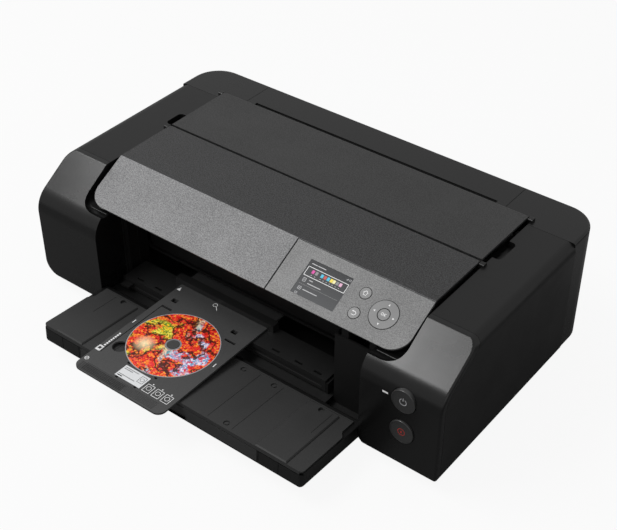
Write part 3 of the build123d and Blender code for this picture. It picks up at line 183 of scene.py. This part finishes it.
def brushed_metal(name, colour, rough):
    """Bare metal brushed along X."""
    material, tree, shader, coords = new_material(name)
    shader.inputs["Metallic"].default_value = 1.0
    mapping = tree.nodes.new("ShaderNodeMapping")
    mapping.inputs["Scale"].default_value = (0.02, 1, 1)
    tree.links.new(coords, mapping.inputs["Vector"])
    lines = noise(tree, mapping.outputs["Vector"], 2500)
    tint = ramp(tree, lines, [(0.3, scaled(colour, 0.85)), (0.7, colour)])
    tree.links.new(tint, shader.inputs["Base Color"])
    tree.links.new(spread(tree, lines, rough * 0.8, rough * 1.25), shader.inputs["Roughness"])
    bump(tree, shader, lines, 0.3, 0.00001)
    return material


def part_of(tree, coords, axis):
    """One of the three object coordinates, in metres."""
    node = tree.nodes.new("ShaderNodeSeparateXYZ")
    tree.links.new(coords, node.inputs["Vector"])
    return node.outputs[axis]


def maths(tree, operation, value, constant):
    """Maths on a value and a constant; a comparison gives 0 or 1."""
    node = tree.nodes.new("ShaderNodeMath")
    node.operation = operation
    node.inputs[1].default_value = constant
    tree.links.new(value, node.inputs[0])
    return node.outputs["Value"]


def vector_maths(tree, operation, vector, constant=None, added=None):
    """Vector maths node on a vector, a constant and, where given, a vector to add."""
    node = tree.nodes.new("ShaderNodeVectorMath")
    node.operation = operation
    tree.links.new(vector, node.inputs[0])
    if constant is not None:
        node.inputs[1].default_value = constant
    if added is not None:
        tree.links.new(added, node.inputs[2])
    return node


def mix(tree, share, low, high):
    """Mix two colours; each is a colour or a socket."""
    node = tree.nodes.new("ShaderNodeMixRGB")
    tree.links.new(share, node.inputs["Fac"])
    for name, value in (("Color1", low), ("Color2", high)):
        if isinstance(value, tuple):
            node.inputs[name].default_value = (*value, 1)
        else:
            tree.links.new(value, node.inputs[name])
    return node.outputs["Color"]


def painted_highlight_cover():
    """Top cover: textured black on the level part; the front slope is coloured light grey as a painted
    highlight standing for the lamp's reflection.
    """
    material, tree, shader, coords = new_material("top_cover_two_tone")
    fine = noise(tree, coords, COARSE_GRAIN, 1.0)
    # Painted highlight: light grey grain on the slope stands in for the softbox's reflection on the
    # black cover.
    slope_highlight_grey = ramp(tree, fine, [(0.35, (0.075, 0.075, 0.077)), (0.66, (0.2, 0.2, 0.203))])
    black = ramp(tree, fine, [(0.37, (0.003, 0.003, 0.0031)), (0.64, (0.042, 0.042, 0.043))])
    depth = part_of(tree, coords, "Y")
    back = maths(tree, "GREATER_THAN", depth, y_of(BEND_DEPTH + BEND_MARGIN))
    tree.links.new(mix(tree, back, slope_highlight_grey, black), shader.inputs["Base Color"])
    slow = noise(tree, coords, SLOW_SCALE)
    tree.links.new(spread(tree, slow, 0.46, 0.56), shader.inputs["Roughness"])
    shader.inputs["Specular IOR Level"].default_value = 0.42
    bump(tree, shader, fine, 0.6, 0.00004)
    return material


def display_glass():
    """Screen: dark grey, with a painted reflection that makes it lighter towards its lower edge."""
    material, tree, shader, coords = new_material("display_glass")
    depth = part_of(tree, coords, "Y")
    # Painted reflection: the base colour grows lighter towards the screen's lower edge in place of a
    # stronger mirror reflection.
    painted_reflection_share = spread(tree, depth, 1.0, 0.0, y_of(SCREEN_DEPTHS[0]), y_of(SCREEN_DEPTHS[1]))
    fine = noise(tree, coords, 2400, 2.0)
    grain = ramp(tree, fine, [(0.2, (0.93, 0.93, 0.93)), (0.8, (1, 1, 1))])
    colour = ramp(tree, painted_reflection_share, [(0.0, (0.034, 0.035, 0.037)), (1.0, (0.066, 0.068, 0.071))])
    node = tree.nodes.new("ShaderNodeMixRGB")
    node.blend_type = "MULTIPLY"
    node.inputs["Fac"].default_value = 1.0
    tree.links.new(colour, node.inputs["Color1"])
    tree.links.new(grain, node.inputs["Color2"])
    tree.links.new(node.outputs["Color"], shader.inputs["Base Color"])
    tree.links.new(spread(tree, fine, 0.24, 0.3), shader.inputs["Roughness"])
    shader.inputs["Specular IOR Level"].default_value = 0.07
    bump(tree, shader, fine, 0.2, 0.000003)
    return material


def cells(tree, coords, scale):
    """Random value of each cell of a cell pattern."""
    node = tree.nodes.new("ShaderNodeTexVoronoi")
    node.inputs["Scale"].default_value = scale
    tree.links.new(coords, node.inputs["Vector"])
    split = tree.nodes.new("ShaderNodeSeparateColor")
    tree.links.new(node.outputs["Color"], split.inputs["Color"])
    return split.outputs["Red"]


def stepped(tree, value, colours):
    """Pick one of the colours by a value from 0 to 1."""
    stops = [(index / len(colours), colour) for index, colour in enumerate(colours)]
    picked = ramp(tree, value, stops)
    picked.node.color_ramp.interpolation = "CONSTANT"
    return picked


def flecked(tree, plane):
    """Leaf-like flecks: warm, with clumps of meadow colours on the left and sky colours on the right."""
    stir = tree.nodes.new("ShaderNodeTexNoise")
    stir.inputs["Scale"].default_value = 320
    tree.links.new(plane, stir.inputs["Vector"])
    moved = vector_maths(tree, "MULTIPLY_ADD", stir.outputs["Color"], (0.005, 0.005, 0), plane)
    leaf = cells(tree, moved.outputs["Vector"], 520)
    flecks = (WARM_FLECKS, MEADOW_FLECKS, SKY_FLECKS)
    warm, meadow, sky = (stepped(tree, leaf, colours) for colours in flecks)
    right = spread(tree, part_of(tree, plane, "X"), 0, 1, -0.012, 0.012)
    clump = spread(tree, noise(tree, plane, 34), 0, 1, 0.51, 0.57)
    return mix(tree, clump, warm, mix(tree, right, meadow, sky))


def disc_print():
    """Printed disc: a generic mosaic of flecks with dark branches and a glow, a grey rim and hub."""
    material, tree, shader, coords = new_material("disc_print")
    middle = (DISC_X * MM, y_of(DISC_DEPTH), 0)
    local = vector_maths(tree, "SUBTRACT", coords, middle).outputs["Vector"]
    plane = vector_maths(tree, "MULTIPLY", local, (1, 1, 0)).outputs["Vector"]
    picture = flecked(tree, plane)
    ridge = maths(tree, "PINGPONG", noise(tree, plane, 30, 5.0), 0.5)
    picture = mix(tree, spread(tree, ridge, 0, 0.94, 0.468, 0.488), picture, BRANCH_COLOUR)
    away = vector_maths(tree, "DISTANCE", plane, GLOW_PLACE).outputs["Value"]
    picture = mix(tree, spread(tree, away, 0.8, 0, 0.001, 0.016), picture, GLOW_COLOUR)
    radius = vector_maths(tree, "LENGTH", plane).outputs["Value"]
    for comparison, limit, colour in DISC_RINGS:
        picture = mix(tree, maths(tree, comparison, radius, limit), picture, colour)
    tree.links.new(picture, shader.inputs["Base Color"])
    fine = noise(tree, coords, 1500, 2.0)
    tree.links.new(spread(tree, fine, 0.3, 0.4), shader.inputs["Roughness"])
    shader.inputs["Specular IOR Level"].default_value = 0.4
    bump(tree, shader, fine, 0.3, 0.000004)
    return material


# Moulded plastics: dark and light of the grain, roughness, grain per metre, depth of the grain, specular
MOULDED = {
    "shell_black": (0.003, 0.0045, 0.26, 1600, 0.000008, 0.37),
    "side_black": (0.004, 0.0055, 0.36, 1500, 0.00002, 0.3),
    "textured_black": (0.002, 0.042, 0.55, COARSE_GRAIN, 0.00006, 0.4),
    "guide_black": (0.008, 0.012, 0.42, 1300, 0.00002, 0.35),
    "inner_black": (0.004, 0.007, 0.5, 1300, 0.00003, 0.25),
    "silver_grey": (0.07, 0.19, 0.48, COARSE_GRAIN, 0.00003, 0.4),
    "tray_grey": (0.02, 0.027, 0.5, 1200, 0.00003, 0.35),
    "disc_tray_grey": (0.036, 0.05, 0.48, 1200, 0.00003, 0.4),
    "key_grey": (0.12, 0.15, 0.42, 1800, 0.00001, 0.5),
    "front_key": (0.024, 0.03, 0.3, 1800, 0.00001, 0.6),
    "mech_grey": (0.08, 0.11, 0.5, 1200, 0.00003, 0.4),
    "gear_white": (0.62, 0.7, 0.45, 900, 0.00002, 0.4, (1, 1, 0.95)),
    "ink_shell": (0.014, 0.02, 0.25, 1500, 0.00001, 0.5),
    "roller_rubber": (0.014, 0.022, 0.75, 1600, 0.00006, 0.3),
    "felt": (0.02, 0.03, 0.8, 1800, 0.00005, 0.25),
    "board": (0.02, 0.03, 0.4, 260, 0.00003, 0.5, (0.7, 3.6, 1.5)),
    "lens": (0.8, 0.9, 0.2, 700, 0.00001, 0.5),
}
MATERIALS = {name: moulded(name, *values) for name, values in MOULDED.items()}
MATERIALS.update(
    steel=brushed_metal("steel", (0.6, 0.6, 0.62), 0.35),
    display=display_glass(),
    disc_face=disc_print(),
    cover_two_tone=painted_highlight_cover(),
)

# Colours of the printed marks
INKS = {
    "white": (0.72, 0.72, 0.72), "pale": (0.42, 0.42, 0.43), "grey": (0.2, 0.2, 0.2),
    "dark": (0.02, 0.02, 0.021), "black": (0.005, 0.005, 0.005), "paper": (0.62, 0.63, 0.64),
    "red": (0.45, 0.035, 0.025), "cyan": (0.03, 0.42, 0.6), "yellow": (0.75, 0.6, 0.05),
    "magenta": (0.6, 0.03, 0.3), "pale_yellow": (0.75, 0.7, 0.35), "pale_magenta": (0.65, 0.35, 0.5),
}
INK_MATERIALS = {
    name: moulded("mark_" + name, 1, 0.92, 0.45, 1400, 0.000002, 0.35, colour)
    for name, colour in INKS.items()
}

# Nodes whose look differs from the record's slot
OTHER_LOOK = {
    "power_button": "front_key", "stop_button": "front_key", "top_cover": "cover_two_tone",
    "side_cover_right": "side_black", "side_cover_left": "side_black", "rear_cover": "shell_black",
    "output_tray_shell": "side_black", "hinge_pins": "inner_black", "rear_feed_panel": "shell_black",
    "disc_guide": "guide_black",
}


def dress_nodes():
    """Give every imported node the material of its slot."""
    slots = {entry["node"]: entry["material_slot"] for entry in frame["record"]["subparts"]}
    for name, obj in NODES.items():
        material = MATERIALS[OTHER_LOOK.get(name, slots[name])]
        if not obj.material_slots:
            obj.data.materials.append(material)
        for slot in obj.material_slots:
            slot.material = material


# Printed marks: thin flat pieces; every shape is (ink, list of outlines), in millimetres of its plane

def rect(x0, y0, x1, y1):
    """Filled rectangle."""
    return [[(x0, y0), (x1, y0), (x1, y1), (x0, y1)]]


def stroke(x0, y0, x1, y1, width):
    """Straight line of a width."""
    length = math.hypot(x1 - x0, y1 - y0)
    ax, ay = -(y1 - y0) / length * width / 2, (x1 - x0) / length * width / 2
    return [[(x0 + ax, y0 + ay), (x0 - ax, y0 - ay), (x1 - ax, y1 - ay), (x1 + ax, y1 + ay)]]


def around(x, y, radius, degrees):
    """Point at a distance and angle from another."""
    angle = math.radians(degrees)
    return x + radius * math.cos(angle), y + radius * math.sin(angle)


def arc(x, y, radius, width, start=0, end=360, steps=32):
    """Ring or arc of a width, angles in degrees."""
    inner, outer = radius - width / 2, radius + width / 2
    angles = [start + (end - start) * step / steps for step in range(steps + 1)]
    return [
        [around(x, y, inner, a), around(x, y, outer, a), around(x, y, outer, b), around(x, y, inner, b)]
        for a, b in zip(angles, angles[1:])
    ]


def spike(x, y, direction, size):
    """Small triangle pointing in a direction, in degrees."""
    turns = [(size, 0), (size * 0.9, 130), (size * 0.9, -130)]
    return [[around(x, y, radius, direction + turn) for radius, turn in turns]]


def frame_box(x0, y0, x1, y1, width):
    """Outline of a rectangle."""
    sides = [(x0, y0, x1, y0), (x1, y0, x1, y1), (x1, y1, x0, y1), (x0, y1, x0, y0)]
    return [outline for side in sides for outline in stroke(*side, width)]


def area_sign(outline):
    """Twice the signed area, to turn outlines anticlockwise."""
    pairs = zip(outline, outline[1:] + outline[:1])
    return sum(a[0] * b[1] - b[0] * a[1] for a, b in pairs)


def prism_faces(base, count):
    """Faces of an upright prism whose lower corners start at base and upper ones follow them."""
    top = [base + count + i for i in range(count)]
    floor = [base + i for i in reversed(range(count))]
    walls = []
    for i in range(count):
        after = (i + 1) % count
        walls.append([base + i, base + after, base + count + after, base + count + i])
    return [top, floor] + walls


def marks(name, body, matrix, shapes, thickness=0.04):
    """One thin piece of all the shapes of a plane, riding on a body."""
    points, faces, inks = [], [], []
    used = list(dict.fromkeys(ink for ink, outlines in shapes))
    for ink, outlines in shapes:
        for outline in outlines:
            loop = outline if area_sign(outline) > 0 else outline[::-1]
            outline_faces = prism_faces(len(points), len(loop))
            points += [matrix @ Vector((x, y, z)) for z in (0, thickness) for x, y in loop]
            faces += outline_faces
            inks += [used.index(ink)] * len(outline_faces)
    mesh = bpy.data.meshes.new(name)
    mesh.from_pydata(points, [], faces)
    for ink in used:
        mesh.materials.append(INK_MATERIALS[ink])
    mesh.polygons.foreach_set("material_index", inks)
    obj = bpy.data.objects.new(name, mesh)
    bpy.context.collection.objects.link(obj)
    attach(obj, body)


# Places of the marks, in millimetres: x and run up the slope, or x and height on the front
SCREEN_LEFT = 82.5
SCREEN_TOP = 17.1
GLASS_DEPTH = -0.3
KEY_TOP = 0.51
HOME = (168.3, -27.0)
BACK = (169.4, -54.6)
PAD = (202.8, -40.9)
PAD_ARROW_RADIUS = 13
FRONT_KEY_X = 272.6
POWER_HEIGHT = 101.4
STOP_HEIGHT = 54.4
FRONT_KEY_DEPTH = -1.8


def on_slope(height):
    """Frame of a plane parallel to the slope."""
    return slope_matrix() @ Matrix.Translation((0, 0, height))


def screen_picture():
    """Menu picture of the screen: header, a framed row of ink levels, and two lines of symbols."""
    def box(u0, v0, u1, v1):
        return rect(SCREEN_LEFT + u0, -SCREEN_TOP - v1, SCREEN_LEFT + u1, -SCREEN_TOP - v0)

    def outline(u0, v0, u1, v1, width):
        left, top = SCREEN_LEFT, -SCREEN_TOP
        return frame_box(left + u0, top - v1, left + u1, top - v0, width)

    levels = [
        (11.9, "magenta"), (17.1, "grey"), (25.1, "cyan"), (29.7, "red"), (34.3, "cyan"),
        (38.9, "yellow"), (42.8, "pale_yellow"), (47.5, "grey"), (52.2, "pale_magenta"),
    ]
    shapes = [
        ("pale", box(4, 4.3, 12, 5.3) + box(13, 4.3, 25, 5.3)),
        ("pale", box(54.6, 4.6, 55.2, 5.4) + box(55.6, 3.8, 56.2, 5.4) + box(56.6, 3, 57.2, 5.4)),
        ("pale", outline(58.9, 3.1, 61.1, 5.3, 0.4)),
        ("white", outline(2.5, 9.5, 61.3, 21.5, 0.7)),
        ("pale", outline(5.4, 24.6, 9.2, 29.4, 0.6)),
        ("pale", box(6.4, 26, 8.2, 26.5) + box(6.4, 27.4, 8.2, 27.9)),
        ("pale", box(13.5, 25, 19, 26) + box(13.5, 29.4, 33, 30.4)),
        ("grey", box(3, 32.9, 60, 33.2)),
        ("pale", outline(5.6, 36.8, 9.8, 40.4, 0.6) + box(6.6, 38.2, 8.8, 38.9)),
        ("pale", box(12.6, 38.4, 33.6, 39.4)),
        ("pale", outline(5.4, 44.6, 8.6, 46.6, 0.5)),
    ]
    for u, ink in levels:
        shapes.append((ink, box(u - 1.8, 11.8, u + 1.8, 16.4)))
        shapes.append(("pale", box(u - 0.9, 18.6, u + 0.9, 19.2)))
    marks("screen_picture", "case", on_slope(GLASS_DEPTH), shapes, 0.03)


def key_symbols():
    """Symbols of the panel keys: house, return arrow, four arrows and the middle key's letters."""
    x, y = HOME
    house = stroke(x - 3.2, y + 0.2, x, y + 3.2, 0.7) + stroke(x, y + 3.2, x + 3.2, y + 0.2, 0.7)
    house += stroke(x - 2.1, y + 0.8, x - 2.1, y - 2.8, 0.6)
    house += stroke(x + 2.1, y + 0.8, x + 2.1, y - 2.8, 0.6)
    house += stroke(x - 2.4, y - 2.6, x + 2.4, y - 2.6, 0.6)
    marks("home_symbol", "home_key", on_slope(KEY_TOP), [("white", house)])
    x, y = BACK
    turn = arc(x + 0.4, y - 0.3, 2.3, 0.7, -90, 90, 14) + stroke(x + 0.4, y + 2, x - 1.6, y + 2, 0.7)
    turn += stroke(x + 0.4, y - 2.6, x - 2.2, y - 2.6, 0.7) + spike(x - 2, y + 2, 180, 1.7)
    marks("back_symbol", "back_key", on_slope(KEY_TOP), [("white", turn)])
    x, y = PAD
    arrows = []
    for angle in (0, 90, 180, 270):
        arrows += spike(*around(x, y, PAD_ARROW_RADIUS, angle), angle, 1.7)
    marks("pad_symbols", "direction_key", on_slope(KEY_TOP), [("white", arrows)])
    letters = arc(x - 1.9, y, 1.5, 0.6, 0, 360, 20) + stroke(x + 1, y - 1.8, x + 1, y + 1.8, 0.6)
    letters += stroke(x + 1.2, y, x + 3, y + 1.8, 0.6) + stroke(x + 1.2, y, x + 3, y - 1.8, 0.6)
    marks("ok_symbol", "ok_key", on_slope(KEY_TOP), [("white", letters)])


def front_symbols():
    """Symbols of the two front keys: power ring, and stop ring with its triangle."""
    plane = front_matrix(FRONT_KEY_DEPTH)
    x, y = FRONT_KEY_X, POWER_HEIGHT
    power = arc(x, y - 0.4, 4.4, 0.9, 120, 420, 26) + stroke(x, y + 0.6, x, y + 5.2, 0.9)
    marks("power_symbol", "power_key", plane, [("pale", power)])
    y = STOP_HEIGHT
    stop = arc(x, y, 4.6, 0.8, 0, 360, 30) + spike(x, y, 90, 2.2)
    marks("stop_symbol", "stop_key", plane, [("red", stop)])


# Printed marks and painted groove shade of the disc tray, in x and depth
TRAY_TOP = 36.0
EDGE_MARKS = [(-118.5, -32.6), (17.9, -32.7)]
# Painted shade of the grip grooves: count, first depth, pitch and width of the black lines.
GROOVE_SHADE_COUNT, GROOVE_SHADE_START, GROOVE_SHADE_PITCH, GROOVE_SHADE_WIDTH = 6, -137.2, 2.1, 0.9
BLOCK_COUNT, BLOCK_START, BLOCK_PITCH, BLOCK_LENGTH = 8, -88.8, 3.75, 2.6
SYMBOL_LEFTS = (-23, -8, 7)


def disc_tray_marks():
    """Marks of the disc tray: arrow, circles, ticks, painted shade lines of the grip grooves, blocks, a
    sticker and line symbols.
    """
    shapes = [
        ("white", spike(-117, 51, 90, 4.2)),
        ("white", arc(-57.5, 55, 3, 0.8) + stroke(-54, 53, -49, 48, 0.9)),
        ("white", arc(-116.2, -118.6, 2.6, 0.8) + stroke(-117.6, -120, -114.8, -117.2, 0.7)),
        ("white", frame_box(-120.6, -100.2, -113.8, -91, 0.8) + rect(-120.4, -100, -114, -97.4)),
        ("white", rect(-120.4, -93, -114, -91.2) + rect(-120.4, -97.4, -119.4, -93)),
        ("white", rect(-115, -97.4, -114, -93)),
        ("black", spike(-117.2, -95.2, -90, 2.2)),
        ("paper", rect(-68, -119, -27, -98)),
        ("grey", rect(-66, -101.4, -44, -100.6) + rect(-66, -104, -52, -103.2)),
        ("grey", rect(-66, -114, -40, -113.2)),
        ("dark", frame_box(-38, -112, -29.5, -101, 0.6) + arc(-33.7, -106.5, 2.6, 0.5)),
        ("red", rect(-66, -117, -58, -115.6)),
    ]
    for x, y in EDGE_MARKS:
        shapes.append(("white", stroke(x, y - 3.4, x, y + 3.4, 1.2)))
    # Painted shade: black lines across the tray stand in for the shade in the grooves of the grip ribs.
    for step in range(GROOVE_SHADE_COUNT):
        low = GROOVE_SHADE_START + step * GROOVE_SHADE_PITCH
        shapes.append(("black", rect(-116, low, -42, low + GROOVE_SHADE_WIDTH)))
    for step in range(BLOCK_COUNT):
        low = BLOCK_START + step * BLOCK_PITCH
        shapes.append(("white", rect(-117, low, -114.5, low + BLOCK_LENGTH)))
    for left in SYMBOL_LEFTS:
        shapes.append(("white", frame_box(left, -119, left + 11, -106, 0.7)))
        symbol = arc(left + 5.5, -112, 3.2, 0.6, 0, 360, 22) + spike(left + 5.5, -103.6, -90, 1.6)
        shapes.append(("white", symbol))
    marks("disc_tray_marks", "disc_carrier", flat_matrix(TRAY_TOP + 0.01), shapes)


# Stage, light and camera; lengths in metres

FLOOR_GREY = (0.17, 0.17, 0.17, 1)
FLOOR_GLOW = 1.22
FLOOR_GLOW_SHARE = 0.75
FLOOR_RADIUS = 12
FLOOR_Z = -0.0002
WORLD_LIGHT = 0.6
WORLD_SEEN = 1.0
WHITE = (1, 1, 1, 1)
CAMERA_PLACE = (0.80403, -0.97077, 1.08952)
CAMERA_TARGET = (0.03643, 0.01918, 0.116)
CAMERA_LENS = 72.89
SENSOR_WIDTH = 36.0


def stage_material():
    """Pale floor: near white to the camera with the object's soft shadow kept, and clear from below."""
    material = bpy.data.materials.new("floor_white")
    material.use_nodes = True
    tree = material.node_tree
    tree.nodes.clear()
    out = tree.nodes.new("ShaderNodeOutputMaterial")
    diffuse = tree.nodes.new("ShaderNodeBsdfDiffuse")
    diffuse.inputs["Color"].default_value = FLOOR_GREY
    glow = tree.nodes.new("ShaderNodeEmission")
    glow.inputs["Color"].default_value = WHITE
    glow.inputs["Strength"].default_value = FLOOR_GLOW
    path = tree.nodes.new("ShaderNodeLightPath")
    blend = tree.nodes.new("ShaderNodeMixShader")
    share = maths(tree, "MULTIPLY", path.outputs["Is Camera Ray"], FLOOR_GLOW_SHARE)
    tree.links.new(share, blend.inputs["Fac"])
    tree.links.new(diffuse.outputs[0], blend.inputs[1])
    tree.links.new(glow.outputs[0], blend.inputs[2])
    side = tree.nodes.new("ShaderNodeNewGeometry")
    clear = tree.nodes.new("ShaderNodeBsdfTransparent")
    one_sided = tree.nodes.new("ShaderNodeMixShader")
    tree.links.new(side.outputs["Backfacing"], one_sided.inputs["Fac"])
    tree.links.new(blend.outputs[0], one_sided.inputs[1])
    tree.links.new(clear.outputs[0], one_sided.inputs[2])
    tree.links.new(one_sided.outputs[0], out.inputs["Surface"])
    return material


def make_stage():
    """Large round floor."""
    bpy.ops.mesh.primitive_circle_add(
        vertices=96, radius=FLOOR_RADIUS, fill_type="NGON", location=(0, 0, FLOOR_Z)
    )
    floor = bpy.context.object
    floor.name = "floor"
    floor.data.materials.append(stage_material())


def make_world():
    """Even studio light; white where the camera sees it, also through clear things."""
    world = bpy.data.worlds.new("studio")
    bpy.context.scene.world = world
    world.use_nodes = True
    tree = world.node_tree
    background = tree.nodes["Background"]
    path = tree.nodes.new("ShaderNodeLightPath")
    seen = tree.nodes.new("ShaderNodeMath")
    seen.operation = "MAXIMUM"
    tree.links.new(path.outputs["Is Camera Ray"], seen.inputs[0])
    tree.links.new(path.outputs["Is Transmission Ray"], seen.inputs[1])
    strength = tree.nodes.new("ShaderNodeMapRange")
    strength.inputs["To Min"].default_value = WORLD_LIGHT
    strength.inputs["To Max"].default_value = WORLD_SEEN
    tree.links.new(seen.outputs[0], strength.inputs["Value"])
    tree.links.new(strength.outputs["Result"], background.inputs["Strength"])
    background.inputs["Color"].default_value = WHITE


def area_lamp(name, position, target, width, height, power):
    """Soft rectangular lamp."""
    lamp = bpy.data.lights.new(name, "AREA")
    lamp.shape = "RECTANGLE"
    lamp.size = width
    lamp.size_y = height
    lamp.energy = power
    obj = bpy.data.objects.new(name, lamp)
    bpy.context.collection.objects.link(obj)
    obj.location = position
    obj.rotation_euler = (Vector(target) - Vector(position)).to_track_quat("-Z", "Y").to_euler()


def make_lights():
    """Softbox over the front left, which the slopes mirror, and a weak fill."""
    area_lamp("softbox", (-1.25, -0.86, 2.3), (0, -0.07, 0.15), width=1.7, height=1.0, power=54)
    area_lamp("fill", (1.8, -1.6, 1.5), (0, 0, 0.1), width=1.2, height=1.2, power=4)


def make_camera():
    """Camera at the photograph's viewing angle."""
    data = bpy.data.cameras.new("camera")
    data.lens = CAMERA_LENS
    data.sensor_width = SENSOR_WIDTH
    camera = bpy.data.objects.new("camera", data)
    bpy.context.collection.objects.link(camera)
    camera.location = CAMERA_PLACE
    view = Vector(CAMERA_TARGET) - camera.location
    camera.rotation_euler = view.to_track_quat("-Z", "Y").to_euler()
    bpy.context.scene.camera = camera


dress_nodes()
screen_picture()
key_symbols()
front_symbols()
disc_tray_marks()
make_stage()
make_world()
make_lights()
make_camera()
bpy.context.scene.view_settings.view_transform = "Standard"
